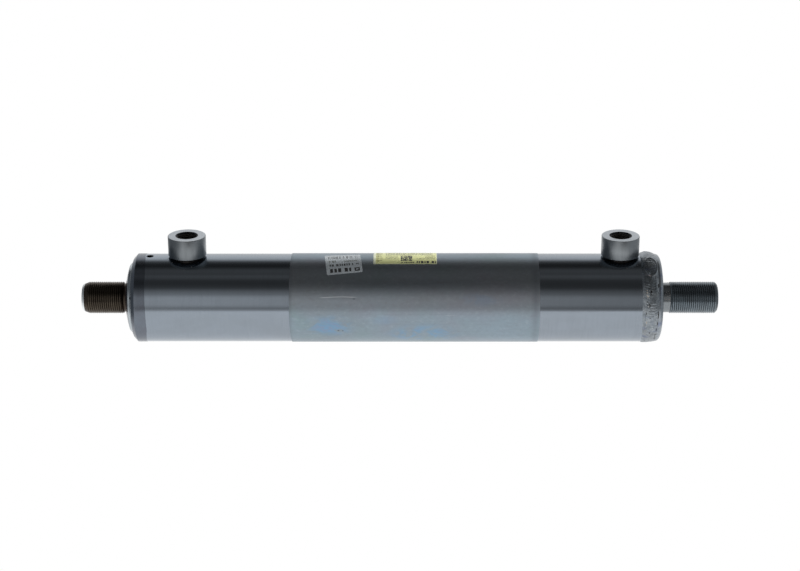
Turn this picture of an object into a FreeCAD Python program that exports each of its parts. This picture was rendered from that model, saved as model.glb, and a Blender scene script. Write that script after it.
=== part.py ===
import FreeCAD, Part
import math
import os

# Double-acting welded hydraulic cylinder, rod fully retracted.
# Frame: the cylinder's axis is X. The origin is on the axis, in the plane of the
# cap's outer face. +X leaves the cap along its threaded stud, the rod comes out
# at -X, and +Z is the side that carries the two oil ports. Millimetres.

V = FreeCAD.Vector
O = V(0, 0, 0)
X = V(1, 0, 0)
Y = V(0, 1, 0)
Z = V(0, 0, 1)

# ------------------------------------------------------------ driving sizes
BORE_R = 35.0            # 70 mm bore
STROKE = 350.0           # rod travel

# tube, outside
TUBE_R = 42.5            # 85 mm drawn tube
BAND_R = 42.35           # duller band beside the rod end's chamfer
TURNED_LEFT_R = 42.12    # cleaned-up surface at the rod end
TURNED_RIGHT_R = 42.24   # cleaned-up surface at the cap end
X_TUBE_END = -501.3      # tube's open end
TUBE_END_R = 38.4
X_BAND_0 = -497.7        # as-drawn band left beside the end chamfer
X_BAND_1 = -490.6
X_MID_0 = -353.3         # as-drawn middle
X_MID_1 = -116.2
X_WELD_TOE = -18.0       # cap weld's toe on the tube
X_ROOT = -9.3            # weld root, where tube and cap meet

# cap and its stud
CAP_FACE_R = 38.4
RIM_R = 41.9             # cap's outer edge, where the bead ends
X_RIM = -4.6
X_CAP_IN = -29.0
SPIGOT_R = 34.96
NECK_R = 14.3
X_NECK = 10.8
CAP_STUD_R = 14.82       # crest of the M30 x 2 cap stud
X_CAP_STUD_END = 55.8

# rod
ROD_R = 20.0
X_ROD_SHOULDER = -508.6
X_PISTON_SEAT = -90.0
ROD_STUD_R = 14.98       # crest of the M30 x 2 rod stud
X_ROD_STUD_END = -551.3
LEAD_IN = 6.4
STUD_PITCH = 2.0
STUD_DEPTH = 1.22
RELIEF_R = 13.5

# piston, nut
PISTON_R = 34.7
X_PISTON_REAR = -52.0
SPINDLE_R = 14.0         # rod's turned-down end, under the piston
X_NUT_REAR = -34.0
X_ROD_IN = -31.0
NUT_AF = 41.0
NUT_THREAD_R = 13.5

# gland
GLAND_R = 34.93
FLANGE_R = 37.3
X_FLANGE = -501.9
X_GLAND_FACE = -507.1
X_GLAND_BODY = -459.0
NOSE_R = 28.0
X_NOSE = -441.0
GLAND_BORE_R = 20.4
X_WIRE = -485.5          # lock wire and the hole it is fed through
WIRE_R = 2.9
WIRE_GROOVE_R = 3.0
NOTCH_PHI = 70.0         # first rim notch, degrees from +Z towards -Y

# ports, G 1/2
X_PORTS = (-449.8, -38.6)
BOSS_R = 18.0
Z_BOSS_0 = 43.7
Z_BOSS_1 = 63.0
PORT_MINOR_R = 9.32
PORT_MAJOR_R = 10.46
PORT_PITCH = 1.814
PORT_THREAD_LEN = 14.5
PASSAGE_R = 7.0
SADDLE_R = 13.4

# labels, polar angle from +Z towards -Y
LABEL_T = 0.15


# ------------------------------------------------------------------ helpers
def wire_of(points):
    """Closed wire in the XZ half-plane through (x, r) corners; a third number rounds that corner."""
    n = len(points)
    at = [V(p[0], 0, p[1]) for p in points]
    corners = []
    for i, p in enumerate(points):
        f = p[2] if len(p) > 2 else 0
        c = at[i]
        if not f:
            corners.append((c,))
            continue
        u = (at[i - 1] - c).normalize()
        w = (at[(i + 1) % n] - c).normalize()
        half = u.getAngle(w) / 2
        d = f / math.tan(half)
        b = (u + w).normalize()
        centre = c + b * (f / math.sin(half))
        corners.append((c + u * d, centre - b * f, c + w * d))
    edges = []
    for i, c in enumerate(corners):
        if len(c) == 3:
            edges.append(Part.Arc(*c).toShape())
        nxt = corners[(i + 1) % n]
        if (nxt[0] - c[-1]).Length > 1e-7:
            edges.append(Part.LineSegment(c[-1], nxt[0]).toShape())
    return Part.Wire(edges)


def turned(points, angle=360.0, start=None):
    """Solid of revolution about X. start is the half-plane's angle from +Z towards -Y."""
    face = Part.Face(wire_of(points))
    if start is not None:
        face.rotate(O, X, start)
    solid = face.revolve(O, X, angle)
    if solid.Volume < 0:
        solid.reverse()
    return solid


def polar(phi):
    """Unit vector at phi degrees from +Z towards -Y."""
    a = math.radians(phi)
    return V(0, -math.sin(a), math.cos(a))


def drill(x, z0, z1, r):
    return Part.makeCylinder(r, z1 - z0, V(x, 0, z0), Z)


def grooves(x0, x1, crest, pitch, depth, flank, root):
    """(x, r) corners of V-shaped thread grooves between x0 and x1, cut below a crest radius."""
    width = 2 * flank + root
    count = int((x1 - x0 - width) // pitch) + 1
    first = (x0 + x1) / 2 - (count - 1) * pitch / 2
    out = []
    for i in range(count):
        c = first + i * pitch
        out += [
            (c - width / 2, crest),
            (c - root / 2, crest - depth),
            (c + root / 2, crest - depth),
            (c + width / 2, crest),
        ]
    return out


def ring(x0, x1, r_in, r_out, soft=0.0):
    """A plain ring; soft rounds its corners."""
    if soft:
        return turned([(x0, r_in, soft), (x0, r_out, soft), (x1, r_out, soft), (x1, r_in, soft)])
    return turned([(x0, r_in), (x0, r_out), (x1, r_out), (x1, r_in)])


def split(shape, x, phi, r):
    """Saw a slanting gap through a guide ring."""
    b = Part.makeBox(30, 1.2, 12, V(-15, -0.6, -6))
    b.rotate(O, Z, 60)
    b.translate(V(x, 0, r))
    b.rotate(O, X, phi)
    return shape.cut(b)


def torus(x, r_major, r_minor, angle=360.0, start=0.0):
    t = Part.makeTorus(r_major, r_minor, O, X, -180, 180, angle)
    # the torus about X starts in the half-plane that its own frame gives; turn it to +Z
    box = t.BoundBox
    t.translate(V(x, 0, 0))
    t.rotate(O, X, start)
    return t


PARTS = {}


def keep(name, shape):
    solids = shape.Solids
    assert solids, name
    shape = solids[0] if len(solids) == 1 else Part.makeCompound(solids)
    assert shape.isValid(), name
    PARTS[name] = shape
    return shape


# --------------------------------------------------------------- barrel tube
tube = turned([
    (X_TUBE_END, BORE_R + 0.6),
    (X_TUBE_END, TUBE_END_R),
    (X_BAND_0, BAND_R, 0.6),
    (X_BAND_1 - 0.2, BAND_R),
    (X_BAND_1, TURNED_LEFT_R),
    (X_MID_0, TURNED_LEFT_R),
    (X_MID_0 + 0.2, TUBE_R),
    (X_MID_1 - 0.2, TUBE_R),
    (X_MID_1, TURNED_RIGHT_R),
    (X_WELD_TOE, TURNED_RIGHT_R),
    (X_ROOT, BORE_R),
    (X_TUBE_END + 0.6, BORE_R),
])
tube = tube.cut(torus(X_WIRE, BORE_R, WIRE_GROOVE_R))
tube = tube.cut(drill(X_WIRE, 30, 50, 3.0))
for px in X_PORTS:
    tube = tube.cut(drill(px, 25, 50, PASSAGE_R))
keep("barrel_tube", tube)

# ------------------------------------------------------- cap with its stud
cap = turned(
    [
        (X_CAP_IN, 0),
        (X_CAP_IN, SPIGOT_R - 3.0),
        (X_CAP_IN + 3.0, SPIGOT_R),
        (X_ROOT, SPIGOT_R),
        (X_RIM, RIM_R),
        (-2.6, 41.6),
        (-1.5, 40.9),
        (-0.4, 39.5),
        (0, CAP_FACE_R),
        (0, NECK_R, 1.2),
        (X_NECK - 0.8, NECK_R),
        (X_NECK, CAP_STUD_R),
    ]
    + grooves(X_NECK + 0.4, X_CAP_STUD_END - 2.5, CAP_STUD_R, STUD_PITCH, STUD_DEPTH, 0.70, 0.30)
    + [
        (X_CAP_STUD_END - 2.4, CAP_STUD_R),
        (X_CAP_STUD_END, CAP_STUD_R - 2.3),
        (X_CAP_STUD_END, 0),
    ]
)
keep("end_cap", cap)

bead = turned([
    (X_ROOT, SPIGOT_R),
    (X_ROOT, BORE_R),
    (X_WELD_TOE, TURNED_RIGHT_R),
    (-17.0, 43.1),
    (-13.6, 43.6),
    (-10.0, 43.2),
    (-7.0, 42.7),
    (X_RIM, RIM_R),
])
keep("cap_weld_bead", bead)

# -------------------------------------------------------------- port bosses
def boss_of(x):
    top = Z_BOSS_1
    floor = top - PORT_THREAD_LEN - 1.3
    body = Part.makeCylinder(BOSS_R, top - Z_BOSS_0, V(x, 0, Z_BOSS_0), Z)
    body = body.makeChamfer(0.5, [e for e in body.Edges if e.Curve.TypeId == "Part::GeomCircle"])
    # threaded hole, described in (z, r) and turned about the boss's own axis
    t0, t1 = floor + 0.2, top - 1.2
    hole = [(Z_BOSS_0 - 1, 0), (Z_BOSS_0 - 1, PASSAGE_R), (floor - 1.4, PASSAGE_R), (floor, PORT_MINOR_R)]
    depth = PORT_MAJOR_R - PORT_MINOR_R
    width = 1.50
    count = int((t1 - t0 - width) // PORT_PITCH) + 1
    first = (t0 + t1) / 2 - (count - 1) * PORT_PITCH / 2
    for i in range(count):
        c = first + i * PORT_PITCH
        hole += [(c - width / 2, PORT_MINOR_R), (c - 0.15, PORT_MINOR_R + depth),
                 (c + 0.15, PORT_MINOR_R + depth), (c + width / 2, PORT_MINOR_R)]
    hole += [(top - 1.15, PORT_MINOR_R), (top, PORT_MINOR_R + 1.25), (top + 2, PORT_MINOR_R + 1.25), (top + 2, 0)]
    pts = [V(r, 0, z) for z, r in hole]
    wire = Part.makePolygon(pts + [pts[0]])
    cutter = Part.Face(wire).revolve(O, Z, 360)
    if cutter.Volume < 0:
        cutter.reverse()
    cutter.translate(V(x, 0, 0))
    return body.cut(cutter)


def saddle_of(x, tube_r):
    # weld metal between the tube's round and the boss's flat underside
    body = Part.makeCylinder(SADDLE_R, Z_BOSS_0 - 30.0, V(x, 0, 30.0), Z)
    body = body.cut(Part.makeCylinder(tube_r, 60, V(x - 30, 0, 0), X))
    return body.cut(drill(x, 20, 60, PASSAGE_R))


keep("rod_side_port_boss", boss_of(X_PORTS[0]))
keep("cap_side_port_boss", boss_of(X_PORTS[1]))
keep("rod_side_port_weld", saddle_of(X_PORTS[0], TURNED_LEFT_R))
keep("cap_side_port_weld", saddle_of(X_PORTS[1], TURNED_RIGHT_R))

# --------------------------------------------------------------------- gland
GUIDE_FLOOR = 22.9
SEAL_FLOOR = 25.0
WIPER_FLOOR = 24.6
X_OR0, X_OR1 = -474.0, -467.4      # static seal groove: O-ring and backup ring
OR_FLOOR = 32.3
X_G1 = (-477.0, -467.4)            # front guide ring groove
X_G2 = (-456.0, -446.4)            # rear guide ring groove, in the nose
X_S = (-492.6, -484.6)             # rod seal groove
X_W = (-503.2, -497.2)             # wiper groove
gland = turned([
    (X_GLAND_FACE, 21.7),
    (X_GLAND_FACE, 25.5),
    (-505.2, 32.0),
    (-504.5, 32.8),
    (-502.9, 33.1),
    (X_FLANGE, 37.0),
    (X_FLANGE + 0.2, FLANGE_R),
    (X_TUBE_END, FLANGE_R),
    (X_TUBE_END, 34.6),
    (X_TUBE_END + 1.2, 34.6),
    (X_TUBE_END + 1.6, GLAND_R),
    (X_OR0, GLAND_R),
    (X_OR0, OR_FLOOR),
    (X_OR1, OR_FLOOR),
    (X_OR1, GLAND_R),
    (X_GLAND_BODY - 1.2, GLAND_R),
    (X_GLAND_BODY, GLAND_R - 1.2),
    (X_GLAND_BODY, NOSE_R, 1.5),
    (X_NOSE - 1.5, NOSE_R),
    (X_NOSE, NOSE_R - 1.5),
    (X_NOSE, GLAND_BORE_R + 0.8),
    (X_NOSE - 0.8, GLAND_BORE_R),
    (X_G2[1], GLAND_BORE_R),
    (X_G2[1], GUIDE_FLOOR),
    (X_G2[0], GUIDE_FLOOR),
    (X_G2[0], GLAND_BORE_R),
    (X_G1[1], GLAND_BORE_R),
    (X_G1[1], GUIDE_FLOOR),
    (X_G1[0], GUIDE_FLOOR),
    (X_G1[0], GLAND_BORE_R),
    (X_S[1], GLAND_BORE_R),
    (X_S[1], SEAL_FLOOR),
    (X_S[0], SEAL_FLOOR),
    (X_S[0], GLAND_BORE_R),
    (X_W[1], GLAND_BORE_R),
    (X_W[1], WIPER_FLOOR),
    (X_W[0], WIPER_FLOOR),
    (X_W[0], 21.7),
])
gland = gland.cut(torus(X_WIRE, BORE_R, WIRE_GROOVE_R))
for k in range(6):
    notch = Part.makeBox(3, 1.8, 6, V(X_TUBE_END - 2.6, -0.9, FLANGE_R - 2.2))
    notch.rotate(O, X, NOTCH_PHI + 60 * k)
    gland = gland.cut(notch)
keep("gland", gland)

# the lock wire lies half in the tube and half in the gland, open under its hole
arc = Part.makeTorus(BORE_R, WIRE_R, O, X, -180, 180, 336)
arc.translate(V(X_WIRE, 0, 0))
mid = arc.CenterOfMass
have = math.degrees(math.atan2(-mid.y, mid.z))
arc.rotate(O, X, 180 - have)
keep("gland_lock_wire", arc)

keep("gland_o_ring", turned([
    (X_OR0 + 2.1, OR_FLOOR, 1.2), (X_OR0 + 2.1, BORE_R - 0.01, 1.2),
    (X_OR1 - 0.3, BORE_R - 0.01, 1.2), (X_OR1 - 0.3, OR_FLOOR, 1.2),
]))
keep("gland_backup_ring", ring(X_OR0 + 0.2, X_OR0 + 1.7, OR_FLOOR + 0.05, BORE_R - 0.05))
keep("rod_guide_ring_front", split(ring(X_G1[0] + 0.05, X_G1[1] - 0.05, ROD_R + 0.05, GUIDE_FLOOR - 0.02),
                                   (X_G1[0] + X_G1[1]) / 2, 150, 21.5))
keep("rod_guide_ring_rear", split(ring(X_G2[0] + 0.05, X_G2[1] - 0.05, ROD_R + 0.05, GUIDE_FLOOR - 0.02),
                                  (X_G2[0] + X_G2[1]) / 2, -60, 21.5))
# U-cup rod seal, its open side towards the oil
keep("rod_seal", turned([
    (X_S[0] + 0.3, ROD_R + 0.30, 0.3),
    (X_S[0] + 0.3, SEAL_FLOOR - 0.05, 0.3),
    (X_S[1] - 0.4, SEAL_FLOOR - 0.05, 0.3),
    (X_S[1] - 0.4, SEAL_FLOOR - 1.5, 0.3),
    (X_S[1] - 3.6, 22.9),
    (X_S[1] - 3.6, 22.1),
    (X_S[1] - 0.4, 21.2, 0.3),
    (X_S[1] - 0.9, ROD_R + 0.04),
    (X_S[1] - 2.2, ROD_R + 0.04),
    (X_S[1] - 3.4, ROD_R + 0.30),
]))
# wiper with a forward scraping lip
keep("rod_wiper", turned([
    (X_W[0] + 0.15, WIPER_FLOOR - 0.05),
    (X_W[1] - 0.15, WIPER_FLOOR - 0.05),
    (X_W[1] - 0.15, 21.3),
    (X_W[1] - 1.6, ROD_R + 0.04),
    (X_W[1] - 2.4, ROD_R + 0.04),
    (X_W[0] + 0.4, 20.9),
    (X_GLAND_FACE + 0.9, ROD_R + 0.04),
    (X_GLAND_FACE + 0.5, ROD_R + 0.04),
    (X_GLAND_FACE + 0.5, ROD_R + 0.5),
    (X_W[0] - 0.6, 21.6),
    (X_W[0] + 0.15, 21.6),
]))

# ----------------------------------------------------------------------- rod
X_NUT_FRONT = X_PISTON_REAR
rod = turned(
    [
        (X_ROD_STUD_END, 0),
        (X_ROD_STUD_END, 12.5),
        (X_ROD_STUD_END + LEAD_IN, ROD_STUD_R),
    ]
    + grooves(X_ROD_STUD_END + LEAD_IN + 0.4, X_ROD_SHOULDER - 4.0, ROD_STUD_R, STUD_PITCH, STUD_DEPTH, 0.70, 0.30)
    + [
        (X_ROD_SHOULDER - 3.9, ROD_STUD_R),
        (X_ROD_SHOULDER - 2.6, RELIEF_R),
        (X_ROD_SHOULDER, RELIEF_R, 0.6),
        (X_ROD_SHOULDER, ROD_R - 1.0),
        (X_ROD_SHOULDER + 1.0, ROD_R),
        (X_PISTON_SEAT - 1.0, ROD_R),
        (X_PISTON_SEAT, ROD_R - 1.0),
        (X_PISTON_SEAT, SPINDLE_R),
        (-73.0, SPINDLE_R),
        (-73.0, 11.9),
        (-69.4, 11.9),
        (-69.4, SPINDLE_R),
        (X_PISTON_REAR - 0.4, SPINDLE_R),
        (X_PISTON_REAR - 0.1, 12.3),
        (X_PISTON_REAR + 2.4, 12.3),
        (X_PISTON_REAR + 3.6, NUT_THREAD_R - 0.05),
    ]
    + grooves(X_PISTON_REAR + 3.8, X_ROD_IN - 1.4, NUT_THREAD_R - 0.05, STUD_PITCH, STUD_DEPTH, 0.70, 0.30)
    + [
        (X_ROD_IN - 1.2, NUT_THREAD_R - 0.05),
        (X_ROD_IN, NUT_THREAD_R - 1.25),
        (X_ROD_IN, 0),
    ]
)
keep("piston_rod", rod)

# -------------------------------------------------------------------- piston
PG1 = (-87.6, -79.6)
PS = (-75.4, -67.8)
PG2 = (-63.2, -55.2)
PG_FLOOR = 32.2
PS_FLOOR = 29.4
piston = turned([
    (X_PISTON_SEAT, SPINDLE_R + 0.02),
    (X_PISTON_SEAT, PISTON_R - 0.8),
    (X_PISTON_SEAT + 0.8, PISTON_R),
    (PG1[0], PISTON_R), (PG1[0], PG_FLOOR), (PG1[1], PG_FLOOR), (PG1[1], PISTON_R),
    (PS[0], PISTON_R), (PS[0], PS_FLOOR), (PS[1], PS_FLOOR), (PS[1], PISTON_R),
    (PG2[0], PISTON_R), (PG2[0], PG_FLOOR), (PG2[1], PG_FLOOR), (PG2[1], PISTON_R),
    (X_PISTON_REAR - 0.8, PISTON_R),
    (X_PISTON_REAR, PISTON_R - 0.8),
    (X_PISTON_REAR, SPINDLE_R + 0.02),
])
keep("piston", piston)
keep("piston_rod_o_ring", turned([
    (-72.8, 11.92, 0.9), (-72.8, SPINDLE_R, 0.9), (-69.7, SPINDLE_R, 0.9), (-69.7, 11.92, 0.9),
]))
keep("piston_seal_energizer", turned([
    (PS[0] + 0.6, PS_FLOOR, 1.4), (PS[0] + 0.6, 32.9, 1.4),
    (PS[1] - 0.6, 32.9, 1.4), (PS[1] - 0.6, PS_FLOOR, 1.4),
]))
keep("piston_seal_ring", turned([
    (PS[0] + 0.1, 32.9), (PS[0] + 0.1, BORE_R - 0.3), (PS[0] + 0.7, BORE_R - 0.04),
    (PS[1] - 0.7, BORE_R - 0.04), (PS[1] - 0.1, BORE_R - 0.3), (PS[1] - 0.1, 32.9),
]))
keep("piston_guide_ring_front", split(ring(PG1[0] + 0.08, PG1[1] - 0.08, PG_FLOOR + 0.05, BORE_R - 0.05),
                                      (PG1[0] + PG1[1]) / 2, 40, 33.6))
keep("piston_guide_ring_rear", split(ring(PG2[0] + 0.08, PG2[1] - 0.08, PG_FLOOR + 0.05, BORE_R - 0.05),
                                     (PG2[0] + PG2[1]) / 2, 215, 33.6))

# ----------------------------------------------------------------------- nut
across = NUT_AF / math.sqrt(3) * 2
corner = [V(X_NUT_FRONT, across / 2 * math.cos(math.radians(60 * k + 30)), across / 2 * math.sin(math.radians(60 * k + 30)))
          for k in range(6)]
nut = Part.Face(Part.makePolygon(corner + [corner[0]])).extrude(X * (X_NUT_REAR - X_NUT_FRONT))
nut = nut.common(turned([
    (X_NUT_FRONT, 0), (X_NUT_FRONT, NUT_AF / 2 - 0.3), (X_NUT_FRONT + 1.9, across / 2 + 0.3),
    (X_NUT_REAR - 1.9, across / 2 + 0.3), (X_NUT_REAR, NUT_AF / 2 - 0.3), (X_NUT_REAR, 0),
]))
nut = nut.cut(turned([
    (X_NUT_FRONT - 1, 0), (X_NUT_FRONT - 1, NUT_THREAD_R + 1.2), (X_NUT_FRONT, NUT_THREAD_R + 1.2),
    (X_NUT_FRONT + 1.2, NUT_THREAD_R), (X_NUT_REAR - 1.2, NUT_THREAD_R), (X_NUT_REAR, NUT_THREAD_R + 1.2),
    (X_NUT_REAR + 1, NUT_THREAD_R + 1.2), (X_NUT_REAR + 1, 0),
]))
x_screw = (X_NUT_FRONT + X_NUT_REAR) / 2
nut = nut.cut(Part.makeCylinder(3.02, 20, V(x_screw, 0, -30), Z))
keep("piston_nut", nut)

# grub screw that locks the nut, with its hexagon socket outwards
screw = Part.makeCylinder(2.98, 6.2, V(x_screw, 0, -NUT_AF / 2 + 0.5), Z)
hexagon = [V(x_screw + 1.73 * math.cos(math.radians(60 * k)), 1.73 * math.sin(math.radians(60 * k)), -NUT_AF / 2)
           for k in range(6)]
screw = screw.cut(Part.Face(Part.makePolygon(hexagon + [hexagon[0]])).extrude(Z * 3.4))
keep("nut_set_screw", screw)

# -------------------------------------------------------------------- labels
def label(x0, x1, phi0, phi1, lean=0.0):
    r0, r1 = TUBE_R, TUBE_R + LABEL_T
    face = Part.Face(Part.makePolygon([V(x0, 0, r0), V(x1, 0, r0), V(x1, 0, r1), V(x0, 0, r1), V(x0, 0, r0)]))
    face.rotate(O, X, phi0)
    s = face.revolve(O, X, phi1 - phi0)
    if s.Volume < 0:
        s.reverse()
    return s


keep("info_label", label(-319.9, -283.5, -3.0, 38.0))
keep("caution_label", label(-273.6, -211.9, -36.0, 21.0))

# -------------------------------------------------------------------- output
os.makedirs("parts", exist_ok=True)
for name, shape in PARTS.items():
    shape.exportStep(os.path.join("parts", name + ".step"))
    b = shape.BoundBox
    print("%-26s %10.1f mm3  X %8.2f %8.2f  Y %7.2f %7.2f  Z %7.2f %7.2f  solids %d" % (
        name, shape.Volume, b.XMin, b.XMax, b.YMin, b.YMax, b.ZMin, b.ZMax, len(shape.Solids)))
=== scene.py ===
import bpy, bmesh, math, random
import numpy as np
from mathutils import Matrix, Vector, noise


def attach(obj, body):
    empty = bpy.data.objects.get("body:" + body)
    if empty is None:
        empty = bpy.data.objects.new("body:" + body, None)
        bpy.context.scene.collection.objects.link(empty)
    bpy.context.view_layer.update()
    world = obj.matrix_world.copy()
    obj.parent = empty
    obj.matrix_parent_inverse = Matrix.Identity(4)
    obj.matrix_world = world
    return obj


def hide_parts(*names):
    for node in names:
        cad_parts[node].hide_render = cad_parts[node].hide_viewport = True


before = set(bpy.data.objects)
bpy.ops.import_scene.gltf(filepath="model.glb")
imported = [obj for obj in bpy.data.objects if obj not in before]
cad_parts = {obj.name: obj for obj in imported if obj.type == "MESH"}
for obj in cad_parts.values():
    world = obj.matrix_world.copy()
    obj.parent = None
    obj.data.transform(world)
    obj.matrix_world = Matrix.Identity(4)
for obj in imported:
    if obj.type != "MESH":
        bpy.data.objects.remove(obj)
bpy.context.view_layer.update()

MM = 0.001
TAU = 2 * math.pi
scene = bpy.context.scene
scene.view_settings.view_transform = "Standard"
scene.view_settings.look = "None"
scene.view_settings.exposure = 0.0
scene.view_settings.gamma = 1.0


# =================================================================== mesh kit
def along_x(a, r, phi):
    """Cylinder coordinates about the object's axis: phi from +Z towards -Y."""
    return np.stack([a, -r * np.sin(phi), r * np.cos(phi)], -1)


def along_z(cx):
    def place(a, r, phi):
        return np.stack([cx + r * np.cos(phi), r * np.sin(phi), a], -1)
    return place


def arcs(points, seg=5):
    """(a, r) corners; a third number rounds that corner. Open chain."""
    out = []
    n = len(points)
    for i, p in enumerate(points):
        f = p[2] if len(p) > 2 else 0
        c = np.array(p[:2], float)
        if not f or i in (0, n - 1):
            out.append(tuple(c))
            continue
        u = np.array(points[i - 1][:2], float) - c
        w = np.array(points[i + 1][:2], float) - c
        lu, lw = np.linalg.norm(u), np.linalg.norm(w)
        u, w = u / lu, w / lw
        half = math.acos(max(-1, min(1, float(u @ w)))) / 2
        if half > math.pi / 2 - 1e-3:
            out.append(tuple(c))
            continue
        f = min(f, 0.49 * min(lu, lw) * math.tan(half))
        d = f / math.tan(half)
        b = (u + w) / np.linalg.norm(u + w)
        centre = c + b * (f / math.sin(half))
        t0, t1 = c + u * d - centre, c + w * d - centre
        a0, a1 = math.atan2(t0[1], t0[0]), math.atan2(t1[1], t1[0])
        da = (a1 - a0 + math.pi) % TAU - math.pi
        for k in range(seg + 1):
            a = a0 + da * k / seg
            out.append((centre[0] + f * math.cos(a), centre[1] + f * math.sin(a)))
    return out


def refine(points, step):
    """Split every run longer than step along the axis."""
    out = [points[0]]
    for p, q in zip(points, points[1:]):
        n = max(1, int(math.ceil(abs(q[0] - p[0]) / step)))
        for k in range(1, n + 1):
            out.append((p[0] + (q[0] - p[0]) * k / n, p[1] + (q[1] - p[1]) * k / n))
    return out


class Soup:
    """Vertices and faces from several grids, welded at the end."""

    def __init__(self):
        self.v, self.f, self.n = [], [], 0

    def grid(self, pts, wrap=0, flip=False):
        """pts is rows x columns x 3. wrap joins the last column to the first, shifted by that many rows (None: not joined)."""
        rows, cols = pts.shape[:2]
        self.v.append(pts.reshape(-1, 3))
        i, j = np.meshgrid(np.arange(rows - 1), np.arange(cols if wrap is not None else cols - 1), indexing="ij")
        i, j = i.ravel(), j.ravel()
        jn = j + 1
        shift = np.where(jn == cols, wrap or 0, 0)
        jn = jn % cols
        ok = i + 1 + shift < rows
        i, j, jn, shift = i[ok], j[ok], jn[ok], shift[ok]
        q = np.stack([i * cols + j, (i + 1) * cols + j, (i + 1 + shift) * cols + jn, (i + shift) * cols + jn], -1)
        self.f.append(q + self.n)
        self.n += rows * cols

    def lathe(self, chain, segs, place=along_x, phi0=0.0, bump=None):
        phi = phi0 + np.arange(segs) * TAU / segs
        a = np.array([p[0] for p in chain], float)[:, None] + 0 * phi
        r = np.array([p[1] for p in chain], float)[:, None] + 0 * phi
        ph = phi[None, :] + 0 * a
        if bump is not None:
            a, r = bump(a, r, ph)
        self.grid(place(a, r, ph))

    def thread(self, a0, a1, env, crest, depth, pitch, segs, place=along_x, phi0=0.0, inside=False,
               fade0=0.0, fade1=0.0, flat=0.0625):
        """A right-hand thread between a0 and a1. env(a) is the blank's radius there, flat half the crest's share of a pitch."""
        flank = np.linspace(flat, 0.455, 5)
        fr = np.concatenate([[-flat], flank, [0.5], 1 - flank[:0:-1]])
        turns = int(math.ceil((a1 - a0) / pitch)) + 2
        base = (a0 - pitch + pitch * (np.arange(turns)[:, None] + fr[None, :])).ravel()
        frac = np.tile(fr, turns)
        phi = phi0 + np.arange(segs) * TAU / segs
        a = base[:, None] + pitch * (np.arange(segs) / segs)[None, :]
        cut = np.clip((np.minimum(np.abs(frac), 1 - np.abs(frac)) - flat) / (0.455 - flat), 0, 1)
        cut = cut[:, None] + 0 * a
        ac = np.clip(a, a0, a1)
        grow = np.ones_like(ac)
        if fade0:
            grow = grow * np.clip((ac - a0) / fade0, 0, 1)
        if fade1:
            grow = grow * np.clip((a1 - ac) / fade1, 0, 1)
        blank = env(ac)
        if inside:
            r = np.maximum(crest + depth * cut * grow, blank)
        else:
            r = np.minimum(crest - depth * cut * grow, blank)
        ends = (a <= a0) | (a >= a1)
        r = np.where(ends, blank, r)
        self.grid(place(ac, r, phi[None, :] + 0 * a), wrap=len(fr))

    def mesh(self, name, material=None, sharp=32.0, tol=2e-4):
        v = np.concatenate(self.v)
        f = np.concatenate(self.f)
        key = np.round(v / tol).astype(np.int64)
        _, first, inv = np.unique(key, axis=0, return_index=True, return_inverse=True)
        inv = inv.ravel()
        v = v[first] * MM
        f = inv[f]
        faces = []
        for q in f.tolist():
            o = [x for k, x in enumerate(q) if x != q[k - 1]]
            if len(o) >= 3 and len(set(o)) == len(o):
                faces.append(o)
        me = bpy.data.meshes.new(name)
        me.from_pydata(v.tolist(), [], faces)
        return finish_mesh(me, name, material, sharp)


def finish_mesh(me, name, material=None, sharp=32.0, recalc=True):
    bm = bmesh.new()
    bm.from_mesh(me)
    bmesh.ops.dissolve_degenerate(bm, dist=1e-8, edges=bm.edges)
    if recalc:
        bmesh.ops.recalc_face_normals(bm, faces=bm.faces)
    for f in bm.faces:
        f.smooth = True
    bm.to_mesh(me)
    bm.free()
    me.set_sharp_from_angle(angle=math.radians(sharp))
    ob = bpy.data.objects.new(name, me)
    scene.collection.objects.link(ob)
    if material is not None:
        me.materials.append(material)
    return ob


def carve(ob, cutters, sharp=32.0):
    """Cut solids out of ob, exactly, and drop them."""
    for c in cutters:
        m = ob.modifiers.new("cut", "BOOLEAN")
        m.operation, m.solver, m.object = "DIFFERENCE", "EXACT", c
    dg = bpy.context.evaluated_depsgraph_get()
    dg.update()
    me = bpy.data.meshes.new_from_object(ob.evaluated_get(dg))
    ob.modifiers.clear()
    old = ob.data
    ob.data = me
    me.name = ob.name
    bpy.data.meshes.remove(old)
    for c in cutters:
        d = c.data
        bpy.data.objects.remove(c)
        bpy.data.meshes.remove(d)
    for p in me.polygons:
        p.use_smooth = True
    me.set_sharp_from_angle(angle=math.radians(sharp))
    return ob


def rnd(*key):
    return random.Random("-".join(str(k) for k in key))


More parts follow.
